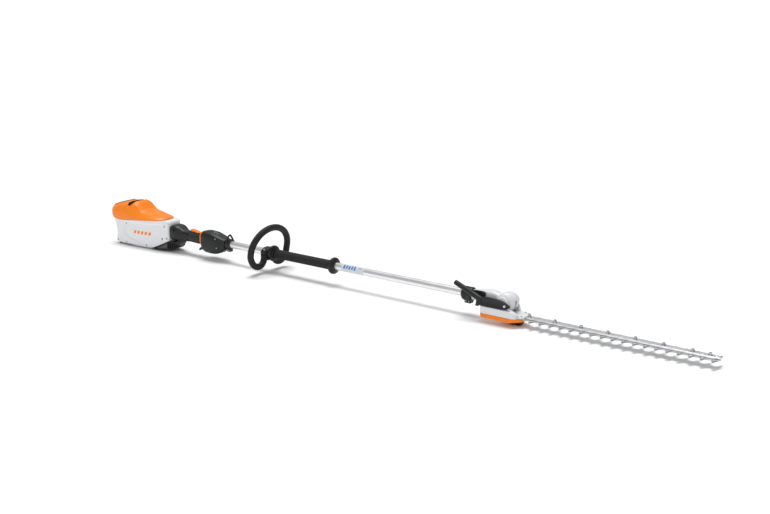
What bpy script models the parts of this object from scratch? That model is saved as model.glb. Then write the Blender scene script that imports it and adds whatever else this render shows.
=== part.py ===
"""Battery long-reach hedge trimmer: power unit, handle, shaft, loop grip and tilting cutter head.

Run with: blender --background --python part.py
Lengths below are millimetres in the tool's own frame: s runs forward from the rear end, y to the
left and z up from the shaft's axis. place() turns them into Blender's metres.
"""

import math

import bmesh
import bpy
from mathutils import Matrix, Vector

# Driving dimensions, in millimetres.
LENGTH = 2420.0
AXIS_HEIGHT = 65.0
GAP = 0.3
TUBE_RADIUS = 12.7
TUBE_BORE = 11.2
DRIVE_RADIUS = 4.0
TOOTH_PITCH = 34.0
TEETH = 18
FIRST_TOOTH = 1830.0
TOOTH_REACH = 32.0
SPINE_HALF = 15.0
BLADE_THICK = 2.0
UPPER_BLADE_TOP = -39.2
LOWER_BLADE_TOP = -41.8
BLADE_STROKE = 8.5
BOLT_PITCH = 87.2
FIRST_BOLT = 1813.0
EVEN_BOLTS = 7
LAST_BOLT = 2388.0
PIVOT_S = 1735.0
DRUM_RADIUS = 30.0
CHEEK_INNER = 26.5
LOOP_S = 762.0
BATTERY_LEAN = math.radians(19.4)

MM = 0.001
LABEL = "hedge_trimmer"


# ---------------------------------------------------------------- scene and materials
for old in list(bpy.data.objects):
    bpy.data.objects.remove(old, do_unlink=True)

parts = bpy.data.collections.new(LABEL)
cutters = bpy.data.collections.new("cutters")
bpy.context.scene.collection.children.link(parts)
bpy.context.scene.collection.children.link(cutters)
cutters.hide_render = True


def material(name, colour, roughness, metallic=0.0):
    """A Principled material with one colour."""
    made = bpy.data.materials.new(name)
    made.use_nodes = True
    shader = made.node_tree.nodes["Principled BSDF"]
    shader.inputs["Base Color"].default_value = (*colour, 1.0)
    shader.inputs["Roughness"].default_value = roughness
    shader.inputs["Metallic"].default_value = metallic
    return made


WHITE = material("light_grey_housing", (0.78, 0.79, 0.80), 0.38)
ORANGE = material("orange_housing", (0.90, 0.22, 0.02), 0.38)
BLACK = material("black_plastic", (0.022, 0.023, 0.025), 0.50)
RUBBER = material("black_rubber", (0.012, 0.012, 0.013), 0.80)
FOAM = material("grip_foam", (0.016, 0.016, 0.018), 0.90)
GREY = material("dark_grey_plastic", (0.12, 0.12, 0.13), 0.50)
PALE = material("pale_grey_plastic", (0.55, 0.54, 0.50), 0.45)
ALUMINIUM = material("aluminium", (0.80, 0.81, 0.83), 0.28, 1.0)
STEEL = material("steel", (0.56, 0.57, 0.58), 0.30, 1.0)
COPPER = material("copper", (0.72, 0.30, 0.12), 0.35, 1.0)
BOARD = material("circuit_board", (0.03, 0.16, 0.07), 0.50)
GLASS = material("display_window", (0.02, 0.03, 0.04), 0.10)
BRASS = material("bearing_bronze", (0.55, 0.36, 0.14), 0.40, 1.0)


# ---------------------------------------------------------------- helpers
def place(s, y, z):
    """A point of the tool's frame in metres: the origin is on the floor at mid-length."""
    return Vector((s - LENGTH / 2, y, z + AXIS_HEIGHT)) * MM


def turn_towards(axis):
    """The rotation that takes +Z to the axis."""
    return Vector((0, 0, 1)).rotation_difference(Vector(axis)).to_matrix().to_4x4()


def finish(name, source, look, matrix=None, flat_ends=False):
    """Bakes an object into a closed mesh in world space; flat_ends joins the triangles of flat faces."""
    bpy.context.view_layer.update()
    graph = bpy.context.evaluated_depsgraph_get()
    mesh = bpy.data.meshes.new_from_object(source.evaluated_get(graph))
    bpy.data.objects.remove(source, do_unlink=True)
    if matrix:
        mesh.transform(matrix)
    form = bmesh.new()
    form.from_mesh(mesh)
    bmesh.ops.remove_doubles(form, verts=form.verts, dist=1e-6)
    if flat_ends:
        bmesh.ops.dissolve_limit(form, angle_limit=0.01, verts=form.verts, edges=form.edges)
    bmesh.ops.recalc_face_normals(form, faces=form.faces)
    form.to_mesh(mesh)
    form.free()
    mesh.name = name
    mesh.materials.clear()
    mesh.materials.append(look)
    piece = bpy.data.objects.new(name, mesh)
    parts.objects.link(piece)
    return piece


AXES = {
    "x": Matrix(((0, 0, 1, 0), (1, 0, 0, 0), (0, 1, 0, 0), (0, 0, 0, 1))),
    "y": Matrix(((1, 0, 0, 0), (0, 0, -1, 0), (0, 1, 0, 0), (0, 0, 0, 1))),
    "z": Matrix.Identity(4),
}


def slab(name, outline, across, low, high, look, holes=()):
    """A flat outline extruded across one axis: (s, z) across y, (s, y) across z, (y, z) across x."""
    curve = bpy.data.curves.new(name, "CURVE")
    curve.dimensions = "2D"
    curve.fill_mode = "BOTH"
    curve.extrude = (high - low) / 2 * MM
    for ring in (outline, *holes):
        spline = curve.splines.new("POLY")
        spline.points.add(len(ring) - 1)
        for point, (u, v) in zip(spline.points, ring):
            point.co = (u * MM, v * MM, 0, 1)
        spline.use_cyclic_u = True
    shape = bpy.data.objects.new(name + "_outline", curve)
    parts.objects.link(shape)
    middle = (low + high) / 2
    shift = {"x": (middle, 0, 0), "y": (0, middle, 0), "z": (0, 0, middle)}[across]
    return finish(name, shape, look, Matrix.Translation(place(*shift)) @ AXES[across], flat_ends=not holes)


def block(name, s, y, z, look):
    """A box from three (low, high) pairs."""
    form = bmesh.new()
    size = Vector((s[1] - s[0], y[1] - y[0], z[1] - z[0])) * MM
    centre = place(sum(s) / 2, sum(y) / 2, sum(z) / 2)
    bmesh.ops.create_cube(form, size=1.0, matrix=Matrix.Translation(centre) @ Matrix.Diagonal((*size, 1)))
    return from_form(name, form, look)


def rod(name, start, end, radius, look, end_radius=None, sides=32):
    """A cylinder or cone between two points."""
    form = bmesh.new()
    along = place(*end) - place(*start)
    matrix = Matrix.Translation((place(*start) + place(*end)) / 2) @ turn_towards(along)
    last = radius if end_radius is None else end_radius
    bmesh.ops.create_cone(
        form, cap_ends=True, segments=sides, radius1=radius * MM, radius2=last * MM, depth=along.length, matrix=matrix
    )
    return from_form(name, form, look)


def from_form(name, form, look):
    mesh = bpy.data.meshes.new(name)
    form.to_mesh(mesh)
    form.free()
    mesh.materials.append(look)
    piece = bpy.data.objects.new(name, mesh)
    parts.objects.link(piece)
    return piece


def turned(name, profile, base, axis, look, steps=32):
    """A (radius, height) profile turned round an axis; it closes on itself unless it ends on the axis."""
    form = bmesh.new()
    points = [form.verts.new((radius * MM, 0, height * MM)) for radius, height in profile]
    open_profile = profile[0][0] == 0 and profile[-1][0] == 0
    for a, b in zip(points, points[1:] if open_profile else points[1:] + points[:1]):
        form.edges.new((a, b))
    shape = from_form(name + "_profile", form, look)
    screw = shape.modifiers.new("Turn", "SCREW")
    screw.steps = steps
    screw.render_steps = steps
    screw.use_merge_vertices = True
    screw.merge_threshold = 0.00001
    return finish(name, shape, look, Matrix.Translation(place(*base)) @ turn_towards(axis))


def tube(name, points, radius, look, resolution=2):
    """A round bar along a line of points."""
    curve = bpy.data.curves.new(name, "CURVE")
    curve.dimensions = "3D"
    curve.bevel_depth = radius * MM
    curve.bevel_resolution = resolution
    curve.use_fill_caps = True
    spline = curve.splines.new("POLY")
    spline.points.add(len(points) - 1)
    for point, where in zip(spline.points, points):
        point.co = (*place(*where), 1)
    shape = bpy.data.objects.new(name + "_route", curve)
    parts.objects.link(shape)
    return finish(name, shape, look)


def arc(u, v, radius, start, end, count, squash=1.0):
    """Points on an arc about (u, v), with angles in degrees."""
    turns = [math.radians(start + (end - start) * i / (count - 1)) for i in range(count)]
    return [(u + radius * math.cos(t), v + radius * squash * math.sin(t)) for t in turns]


def bevel(piece, width, segments=2, angle=35):
    """Rounds the piece's sharp edges."""
    rounding = piece.modifiers.new("Bevel", "BEVEL")
    rounding.width = width * MM
    rounding.segments = segments
    rounding.limit_method = "ANGLE"
    rounding.angle_limit = math.radians(angle)
    return piece


def combine(piece, tool, operation):
    """One exact Boolean; the tool moves to the cutters' collection."""
    step = piece.modifiers.new(operation.title(), "BOOLEAN")
    step.operation = operation
    step.solver = "EXACT"
    step.object = tool
    if tool.name in parts.objects:
        parts.objects.unlink(tool)
        cutters.objects.link(tool)
    tool.hide_render = True
    tool.display_type = "WIRE"
    return piece


def cut(piece, *tools):
    for tool in tools:
        combine(piece, tool, "DIFFERENCE")
    return piece


def join(piece, *tools):
    for tool in tools:
        combine(piece, tool, "UNION")
    return piece


def keep(piece, *tools):
    for tool in tools:
        combine(piece, tool, "INTERSECT")
    return piece


def hang(piece, s, y, z):
    """Puts the piece's origin on its joint's axis without moving the piece."""
    point = place(s, y, z)
    piece.data.transform(Matrix.Translation(-point))
    piece.location = point
    return piece


def lean(piece, s, z, angle):
    """Turns a baked piece about the y direction through (s, z)."""
    pivot = Matrix.Translation(place(s, 0, z))
    piece.data.transform(pivot @ Matrix.Rotation(angle, 4, "Y") @ pivot.inverted())
    return piece


# ---------------------------------------------------------------- rear power unit
PARTING = [(12, 40), (22, 34), (45, 30), (75, 29), (160, 37), (285, 47)]
WHITE_OUTLINE = [
    (12, 40), (22, 34), (45, 30), (75, 29), (160, 37), (285, 47), (293, 45.5), (299, 39), (299, -26), (222,
        -61),
    (128, -61), (112, -57), (96, -61), (40, -61), (31, -50), (38, -18), (33, 5),
]
HALF_WIDTH = [(8, 40), (30, 56), (110, 59), (190, 55), (298, 33)]
CAVITY_WIDTH = [(14, 38), (34, 53), (110, 56), (190, 52), (293, 29)]
CAVITY_OUTLINE = [
    (24, 60), (240, 60), (246, 38.5), (293, 36), (293, -22), (221, -57), (45, -57), (37, -48), (42,
        -16), (36, 5), (24, 36),
]


def plan(name, half_widths, low, high):
    """A plan outline mirrored about the centre plane."""
    near = [(s, -half) for s, half in half_widths]
    far = [(s, half) for s, half in reversed(half_widths)]
    return slab(name, near + far, "z", low, high, BLACK)


def housing_half(name, side):
    """One moulded half of the rear housing, hollow, open at the top under the hood."""
    shell = slab(name, WHITE_OUTLINE, "y", -62, 62, WHITE)
    keep(shell, plan(name + "_plan", HALF_WIDTH, -80, 80))
    bevel(shell, 6, 3)
    cavity = slab(name + "_cavity", CAVITY_OUTLINE, "y", -60, 60, BLACK)
    keep(cavity, plan(name + "_inner_plan", CAVITY_WIDTH, -90, 90))
    cut(shell, cavity)
    cut(shell, rod(name + "_bore", (280, 0, 0), (320, 0, 0), TUBE_RADIUS + 0.5, BLACK))
    span = (-90, GAP / 2) if side > 0 else (-GAP / 2, 90)
    cut(shell, block(name + "_other_half", (-20, 330), span, (-90, 90), BLACK))
    return shell


housing_left = housing_half("housing_left", 1)
housing_right = housing_half("housing_right", -1)

HOOD_BOTTOM = [(s, z + GAP) for s, z in reversed(PARTING[:-1] + [(268, 45.64)])]
HOOD_OUTLINE = [(0, 50), (1.5, 66), (20, 73), (62, 88), (110, 95.5), (130, 99), (145, 89.5), (165, 71),
    (215, 61), (268, 51)]
HOOD_INNER = [(12, 15), (12, 64), (62, 83), (128, 93), (142, 84), (161, 66), (212, 57), (240, 52), (240,
    15)]
HOOD_WIDTH = [(-5, 36), (26, 56), (110, 59), (190, 55), (246, 43.6), (262, 34), (268, 24)]
HOOD_INNER_WIDTH = [(9, 38), (30, 53), (110, 56), (190, 52), (240, 41)]
HOOD_FRONT = [(-62, 20), (-60, 52), (-47, 84), (-30, 102), (30, 102), (47, 84), (60, 52), (62, 20)]
HOOD_FRONT_INNER = [(-58, 5), (-56, 51), (-44, 82), (-28, 98), (28, 98), (44, 82), (56, 51), (58, 5)]

top_cover = slab("top_cover", HOOD_OUTLINE + HOOD_BOTTOM, "y", -62, 62, ORANGE)
keep(top_cover, plan("hood_plan", HOOD_WIDTH, 10, 120))
keep(top_cover, slab("hood_front", HOOD_FRONT, "x", -10, 320, ORANGE))
bevel(top_cover, 4, 2, 25)
hood_cavity = slab("hood_cavity", HOOD_INNER, "y", -60, 60, BLACK)
keep(hood_cavity, plan("hood_inner_plan", HOOD_INNER_WIDTH, -10, 120))
keep(hood_cavity, slab("hood_inner_front", HOOD_FRONT_INNER, "x", -20, 320, BLACK))
cut(top_cover, hood_cavity)

# The battery leans back and slides out of the hood's rear; its face is level with the hood's slope.
BATTERY_FACE = (36.0, 79.0)
BATTERY_HALF_DEPTH = 23.0
BATTERY_HALF_WIDTH = 36.0
BATTERY_LENGTH = 104.0


def battery_box(name, growth, low, high, look):
    """A rounded box about the battery's line, made upright and then leaned back."""
    s, z = BATTERY_FACE
    depth = BATTERY_HALF_DEPTH + growth
    width = BATTERY_HALF_WIDTH + growth
    corner = 9 + growth
    outline = []
    for cs, cy, start in ((1, 1, 0), (-1, 1, 90), (-1, -1, 180), (1, -1, 270)):
        outline += arc(s + cs * (depth - corner), cy * (width - corner), corner, start, start + 90, 5)
    return lean(slab(name, outline, "z", z + low, z + high, look), s, z, -BATTERY_LEAN)


battery_pack = battery_box("battery_pack", 0, -BATTERY_LENGTH, 1.0, PALE)
bevel(battery_pack, 1.5, 2)
cut(top_cover, battery_box("battery_mouth", 2.0, -40, 30, BLACK))

battery_tray = battery_box("battery_tray", 2.0, -BATTERY_LENGTH - 5, -86, GREY)
cut(battery_tray, battery_box("tray_space", 0.6, -BATTERY_LENGTH - 2, 0, BLACK))
contact_block = lean(block("contact_block", (24, 48), (-20, 20), (-33.3, -21), BLACK), *BATTERY_FACE,
    -BATTERY_LEAN)
contact_block.data.transform(Matrix.Translation(Vector((7, 0, -18)) * MM))

# The latch sits in the pocket behind the hood's peak and hooks over the battery's front edge.
latch_pocket = slab("latch_pocket", [(84, 76), (88, 110), (128, 110), (128, 84), (120, 76)], "y", -20, 20,
    BLACK)
cut(top_cover, latch_pocket)
LATCH_PIN = (112.0, 80.0)
battery_latch = slab(
    "battery_latch", [(64, 74), (65, 79), (88, 80), (92, 86), (106, 87), (120, 83), (118, 78), (104,
        77)], "y", -17, 17, BLACK
)
bevel(battery_latch, 1.0, 2)
hang(battery_latch, LATCH_PIN[0], 0, LATCH_PIN[1])
bridge_outline = [(-40, 66), (40, 66), (40, 82), (28, 82), (22, 75.5), (-22, 75.5), (-28, 82), (-40, 82)]
latch_bridge = slab("latch_bridge", bridge_outline, "x", 104, 122, GREY)

# Motor, fan and mount on the shaft's axis, and the controller under the battery's front.
motor_stator = turned("motor_stator", [(16, 0), (16, 42), (29, 42), (29, 0)], (222, 0, 0), (1, 0, 0),
    COPPER, 28)
motor_mount = slab("motor_mount", arc(0, 0, 30, 0, 330, 12), "x", 265, 270, ALUMINIUM)
cut(motor_mount, rod("mount_bore", (255, 0, 0), (285, 0, 0), 6.5, BLACK))
rotor_profile = [(0, -17), (3, -17), (3, 0), (15.2, 0), (15.2, 42), (5, 42), (5, 66), (0, 66)]
motor_rotor = turned("motor_rotor", rotor_profile, (222, 0, 0), (1, 0, 0), STEEL, 24)
hang(motor_rotor, 222, 0, 0)

cooling_fan = turned("cooling_fan", [(3.3, 0), (3.3, 12), (12, 12), (12, 3), (34, 3), (34, 0)], (207, 0,
    0), (1, 0, 0), GREY, 24)
for turn in range(9):
    blade = block("fan_blade_%d" % turn, (209, 217), (-0.8, 0.8), (11, 33), GREY)
    middle = Matrix.Translation(place(209, 0, 0))
    blade.data.transform(middle @ Matrix.Rotation(turn * math.tau / 9, 4, "X") @ middle.inverted())
    join(cooling_fan, blade)
hang(cooling_fan, 207, 0, 0)

controller_board = block("controller_board", (112, 196), (-34, 34), (-46, -43), BOARD)
for row in range(3):
    heat_fin = block("heat_fin_%d" % row, (122, 186), (-22 + 20 * row, -16 + 20 * row), (-43.5, -35), GREY)
    join(controller_board, heat_fin)

# Air intake below the housing's front: a dark duct with a filter panel and fins.
DUCT_WIDTH = [(220, 44), (298, 33), (348, 23)]
intake_frame = slab("intake_frame", [(222, -61.5), (297, -27), (346, -22), (339, -51), (262, -61.5)], "y",
    -50, 50, BLACK)
keep(intake_frame, plan("duct_plan", DUCT_WIDTH, -80, 0))
bevel(intake_frame, 1.2, 1)
cut(intake_frame, slab("filter_window", [(240, -57.5), (292, -34), (289, -54), (262, -57.5)], "y", -60, 60,
    BLACK))
for fin in range(4):
    slot = (303 + 9.5 * fin, 308.5 + 9.5 * fin)
    cut(intake_frame, block("fin_gap_far_%d" % fin, slot, (15, 60), (-56 + fin, -28 + fin), BLACK))
    cut(intake_frame, block("fin_gap_near_%d" % fin, slot, (-60, -15), (-56 + fin, -28 + fin), BLACK))
intake_mesh = slab("intake_mesh", [(242.5, -57), (291, -35), (288.5, -53.8), (262, -57)], "y", -33, 33,
    GREY)

for name, sign in (("rear_foot_left", 1), ("rear_foot_right", -1)):
    inner, outer = sorted((26 * sign, 46 * sign))
    foot = block(name, (46, 84), (inner, outer), (-AXIS_HEIGHT, -61 - GAP), RUBBER)
    bevel(foot, 1.0, 2)

# ---------------------------------------------------------------- control handle
joint_block = slab(
    "joint_block", [(298.5, 30), (308, 35), (340, 34), (362, 24), (379, 17), (379, -18), (362, -21),
        (298.5, -21)],
    "y", -30, 30, BLACK,
)
keep(joint_block, plan("joint_plan", [(290, 26), (310, 29), (345, 28), (379, 18)], -50, 50))
bevel(joint_block, 3, 2)
cut(joint_block, rod("joint_bore", (280, 0, 0), (390, 0, 0), TUBE_RADIUS + GAP, BLACK))
for sign in (-1, 1):
    cut(joint_block, rod("joint_screw_%d" % sign, (322, sign * 22, 21), (322, sign * 40, 21), 3.2, BLACK,
        sides=16))

HANDLE_PROFILE = [(0, 0), (17.6, 0), (18.2, 18), (19.4, 45), (18.6, 66), (17.8, 72), (0, 72)]


def handle_half(name, side):
    """Half of the grip round the tube, with the lever's recess on top."""
    shell = turned(name, HANDLE_PROFILE, (379 + GAP, 0, 0), (1, 0, 0), BLACK, 28)
    cut(shell, rod(name + "_bore", (370, 0, 0), (470, 0, 0), TUBE_RADIUS + GAP, BLACK))
    cut(shell, block(name + "_recess", (383, 441), (-8, 8), (14.3, 30), BLACK))
    span = (-40, GAP / 2) if side > 0 else (-GAP / 2, 40)
    cut(shell, block(name + "_other_half", (370, 470), span, (-40, 40), BLACK))
    return shell


handle_left = handle_half("handle_left", 1)
handle_right = handle_half("handle_right", -1)

LOCKOUT_PIN = (434.0, 18.5)
lockout_lever = slab(
    "lockout_lever", [(386, 21), (385, 27), (392, 29), (425, 23), (440, 20.5), (440, 16), (432, 15.5),
        (424, 18)],
    "y", -7.4, 7.4, ORANGE,
)
bevel(lockout_lever, 1.0, 2)
cut(lockout_lever, rod("lockout_hole", (LOCKOUT_PIN[0], -12, LOCKOUT_PIN[1]), (LOCKOUT_PIN[0], 12,
    LOCKOUT_PIN[1]), 1.6, BLACK, sides=16))
hang(lockout_lever, LOCKOUT_PIN[0], 0, LOCKOUT_PIN[1])
lockout_pin = rod("lockout_pin", (LOCKOUT_PIN[0], -9.6, LOCKOUT_PIN[1]), (LOCKOUT_PIN[0], 9.6,
    LOCKOUT_PIN[1]), 1.3, STEEL, sides=12)

CONTROL_OUTLINE = [
    (456.6, 3), (459.5, 30), (466, 34), (505, 33), (542, 23), (566, 16), (566, -19), (534, -38), (520,
        -42), (480, -42), (461, -14),
]
CONTROL_PLAN = [(456, 22), (462, 30), (520, 32), (552, 28), (566, 18)]
TRIGGER_PIN = (486.0, -20.0)


def control_half(name, side):
    """Half of the control block round the tube, with the trigger's chamber behind its lower rear."""
    shell = slab(name, CONTROL_OUTLINE, "y", -36, 36, BLACK)
    keep(shell, plan(name + "_plan", CONTROL_PLAN, -60, 60))
    bevel(shell, 4, 2)
    cut(shell, rod(name + "_bore", (440, 0, 0), (580, 0, 0), TUBE_RADIUS + GAP, BLACK))
    chamber = slab(name + "_chamber", [(440, -15), (524, -15), (524, -36), (440, -60)], "y", -9.5, 9.5,
        BLACK)
    cut(shell, chamber)
    cut(shell, block(name + "_button_well", (480, 492), (-6.5, 6.5), (24, 50), BLACK))
    cut(shell, slab(name + "_panel_well", [(496, 28), (530, 20), (530, 50), (496, 50)], "y", -13, 13,
        BLACK))
    cut(shell, rod(name + "_pin_hole", (TRIGGER_PIN[0], -14, TRIGGER_PIN[1]), (TRIGGER_PIN[0], 14,
        TRIGGER_PIN[1]), 2.3, BLACK, sides=16))
    for s, z in ((498, 8), (516, -25)):
        cut(shell, rod("%s_screw_%d" % (name, s), (s, side * 27, z), (s, side * 40, z), 3.0, BLACK,
            sides=16))
    span = (-60, GAP / 2) if side > 0 else (-GAP / 2, 60)
    cut(shell, block(name + "_other_half", (430, 590), span, (-60, 60), BLACK))
    return shell


control_left = control_half("control_left", 1)
control_right = control_half("control_right", -1)

trigger = slab(
    "trigger", [(492, -16), (492, -27), (470, -31), (446, -34), (434, -42), (427, -41), (433, -32), (446,
        -26), (470, -19.5)],
    "y", -7.5, 7.5, BLACK,
)
bevel(trigger, 1.2, 2)
cut(trigger, rod("trigger_hole", (TRIGGER_PIN[0], -12, TRIGGER_PIN[1]), (TRIGGER_PIN[0], 12,
    TRIGGER_PIN[1]), 2.4, BLACK, sides=16))
hang(trigger, TRIGGER_PIN[0], 0, TRIGGER_PIN[1])
trigger_pin = rod("trigger_pin", (TRIGGER_PIN[0], -13.5, TRIGGER_PIN[1]), (TRIGGER_PIN[0], 13.5,
    TRIGGER_PIN[1]), 2.0, STEEL, sides=16)
micro_switch = block("micro_switch", (500, 520), (-6, 6), (-34, -22), GREY)

# The orange ring lies between grip and control block and is open below, for the trigger.
ring_oval = arc(0, 3, 23.5, 0, 345, 24, 1.12)
trim_ring = slab("trim_ring", ring_oval, "x", 451.6, 456, ORANGE)
cut(trim_ring, rod("ring_bore", (430, 0, 0), (480, 0, 0), 18.6, BLACK))
cut(trim_ring, block("ring_opening", (440, 470), (-9.5, 9.5), (-40, -12), BLACK))

mode_button = block("mode_button", (481, 491), (-5.5, 5.5), (27, 35.5), GREY)
bevel(mode_button, 1.0, 2)
display_panel = slab("display_panel", [(497, 28.6), (529, 21), (529, 26.6), (497, 33.9)], "y", -12, 12,
    GLASS)

# ---------------------------------------------------------------- shaft
tube_profile = [(TUBE_BORE, 0), (TUBE_BORE, 1310), (TUBE_RADIUS, 1310), (TUBE_RADIUS, 0)]
shaft_tube = turned("shaft_tube", tube_profile, (290, 0, 0), (1, 0, 0), ALUMINIUM, 36)
drive_shaft = rod("drive_shaft", (288.6, 0, 0), (1694, 0, 0), DRIVE_RADIUS, STEEL, sides=16)
hang(drive_shaft, 288.6, 0, 0)
for count, s in ((1, 640), (2, 1240)):
    bush_profile = [(DRIVE_RADIUS + GAP, 0), (DRIVE_RADIUS + GAP, 24), (TUBE_BORE - GAP, 24),
        (TUBE_BORE - GAP, 0)]
    turned("shaft_bush_%d" % count, bush_profile, (s, 0, 0), (1, 0, 0), BRASS, 24)

# Carrying eyelet: a clamp ring with a three-sided loop across the shaft.
EYELET_S = 577.0
carrying_eyelet = turned(
    "carrying_eyelet", [(13, -9), (13, 9), (17.5, 9), (19, 6), (19, -6), (17.5, -9)], (EYELET_S, 0, 0), (1,
        0, 0), BLACK, 28
)
eyelet_route = [(EYELET_S, -16, 9), (EYELET_S, -13, 18), (EYELET_S, -3.5, 32), (EYELET_S, 3.5, 32),
    (EYELET_S, 13, 18), (EYELET_S, 16, 9)]
join(carrying_eyelet, tube("eyelet_loop", eyelet_route, 3.3, BLACK))
join(carrying_eyelet, bevel(block("eyelet_lugs", (570, 584), (-8, 8), (-26, -15), BLACK), 2, 2))
cut(carrying_eyelet, rod("eyelet_bore", (550, 0, 0), (600, 0, 0), TUBE_RADIUS + GAP, BLACK))
cut(carrying_eyelet, block("eyelet_split", (560, 595), (-1.2, 1.2), (-40, 0), BLACK))

# Loop handle: a round bar across the shaft that curls in under it to the clamp.
LOOP_RADIUS = 10.0


def loop_route():
    """Half of the loop from the clamp's flank out, up and over to the centre plane, as (y, z)."""
    inner = [(22, -12), (23.5, -26)] + arc(38, -27, 12.5, 190, 262, 4)
    corner = arc(62, -12, 28, -75, -8, 6)
    side = arc(0, 12, 92, 0, 90, 10, 78 / 92)
    return inner + corner + side


def loop_point(y, z):
    """The loop leans forward above the shaft."""
    return (LOOP_S + max(z, 0) * 0.19, y, z)


loop_half = loop_route()
loop_full = [loop_point(-y, z) for y, z in loop_half] + [loop_point(y, z) for y,
    z in reversed(loop_half[:-1])]
loop_handle = tube("loop_handle", loop_full, LOOP_RADIUS, RUBBER)
loop_base = slab(
    "loop_base", [(-28, -2), (-28, -16), (-20, -24), (20, -24), (28, -16), (28,
        -2)], "x", LOOP_S - 13, LOOP_S + 13, BLACK
)
join(loop_handle, bevel(loop_base, 2, 2))
cut(loop_handle, rod("loop_bore", (720, 0, 0), (800, 0, 0), TUBE_RADIUS + GAP, BLACK))
cut(loop_handle, block("loop_split", (730, 800), (-31, 31), (-2, 14), BLACK))
loop_clamp_cap = slab(
    "loop_clamp_cap", [(-28, -1.6), (-28, 5), (-17, 15), (-7, 19), (7, 19), (17, 15), (28, 5), (28, -1.6)],
    "x", LOOP_S - 13, LOOP_S + 13, BLACK,
)
bevel(loop_clamp_cap, 2, 2)
for sign in (-1, 1):
    cut(loop_clamp_cap, rod("cap_seat_%d" % sign, (LOOP_S, sign * 20.5, 11.9), (LOOP_S, sign * 20.5, 30),
        4.6, BLACK, sides=16))
cut(loop_clamp_cap, rod("cap_bore", (720, 0, 0), (800, 0, 0), TUBE_RADIUS + GAP, BLACK))
for name, sign in (("loop_screw_left", 1), ("loop_screw_right", -1)):
    for held in (loop_handle, loop_clamp_cap):
        cut(held, rod("%s_hole_%s" % (name, held.name), (LOOP_S, sign * 20.5, -16), (LOOP_S, sign * 20.5,
            20), 2.6, BLACK, sides=16))
    screw_profile = [(0, -14), (2.3, -14), (2.3, 12.2), (4.2, 12.2), (4.2, 15.6), (0, 15.6)]
    turned(name, screw_profile, (LOOP_S, sign * 20.5, 0), (0, 0, 1), STEEL, 16)

# Collars and foam sleeve of the forward grip.
rear_collar = turned(
    "rear_collar", [(13, 0), (13, 19), (20, 19), (20, 12), (26, 11), (27.5, 7), (26, 1), (24, 0)], (779.5,
        0, 0), (1, 0, 0), BLACK, 28
)
sleeve_profile = [(13, 0), (13, 250), (15, 250), (16, 247), (15.6, 125), (16, 3), (15, 0)]
grip_sleeve = turned("grip_sleeve", sleeve_profile, (799, 0, 0), (1, 0, 0), FOAM, 28)
front_profile = [(13, 0), (13, 16), (18, 16), (26, 11), (28, 6), (27, 1), (24, 0)]
front_collar = turned("front_collar", front_profile, (1049.5, 0, 0), (1, 0, 0), BLACK, 28)

# ---------------------------------------------------------------- head, fixed side
clamp_profile = [(13, 0), (13, 37), (21, 37), (24, 33), (24, 5), (21, 0)]
head_clamp = turned("head_clamp", clamp_profile, (1576, 0, 0), (1, 0, 0), BLACK, 32)
join(head_clamp, bevel(block("clamp_lug", (1583, 1606), (-9, 9), (-29, -15), BLACK), 2, 2))
cut(head_clamp, block("clamp_split", (1570, 1620), (-1.2, 1.2), (-40, 0), BLACK))

neck_outline = [(1601, 13), (1613.5, 17), (1640, 20), (1664, 25), (1690, 26), (1712, 20), (1712, -13.5),
    (1613.5, -13.5), (1601, -13)]
gear_housing = slab("gear_housing", neck_outline, "y", -18, 18, WHITE)
bevel(gear_housing, 5, 3)
drum_profile = [(0, -25), (24, -25), (28, -23), (DRUM_RADIUS, -19), (DRUM_RADIUS, 19), (28, 23), (24, 25),
    (0, 25)]
drum = turned("drum", drum_profile, (PIVOT_S, 0, 0), (0, 1, 0), WHITE, 40)
join(gear_housing, drum)
cut(gear_housing, rod("drum_space", (PIVOT_S, -21, 0), (PIVOT_S, 21, 0), 26, BLACK, sides=40))
cut(gear_housing, rod("neck_bore", (1595, 0, 0), (1720, 0, 0), 11, BLACK))
cut(gear_housing, rod("pivot_hole", (PIVOT_S, -40, 0), (PIVOT_S, 40, 0), 8.3, BLACK))
slot_arc = arc(PIVOT_S, 0, 40, -150, 14, 14)
cut(gear_housing, slab("drum_slot", [(PIVOT_S, 0)] + slot_arc, "y", -10.5, 10.5, BLACK))
cut(gear_housing, block("neck_front", (1600.5, 1613.2), (-30, 30), (-30, 30), BLACK))

pivot_pin = turned("pivot_pin", [(0, -34.2), (8, -34.2), (8, 34.2), (0, 34.2)], (PIVOT_S, 0, 0), (0, 1, 0),
    STEEL, 24)


def toothed(name, teeth, root, tip, low, high, base, axis, look, cone=1.0, bore=0.0):
    """A gear blank turned from its teeth outline; cone below 1 shrinks its far face, for a bevel gear."""
    form = bmesh.new()
    outline = []
    for tooth in range(teeth):
        for part, radius in ((0.0, root), (0.25, root), (0.4, tip), (0.75, tip)):
            turn = math.tau * (tooth + part) / teeth
            outline.append(form.verts.new((radius * math.cos(turn) * MM, radius * math.sin(turn) * MM,
                low * MM)))
    face = form.faces.new(outline)
    raised = bmesh.ops.extrude_face_region(form, geom=[face])["geom"]
    for corner in raised:
        if isinstance(corner, bmesh.types.BMVert):
            corner.co = (corner.co.x * cone, corner.co.y * cone, high * MM)
    bmesh.ops.recalc_face_normals(form, faces=form.faces)
    gear = from_form(name, form, look)
    gear.data.transform(Matrix.Translation(place(*base)) @ turn_towards(axis))
    return gear


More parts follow.
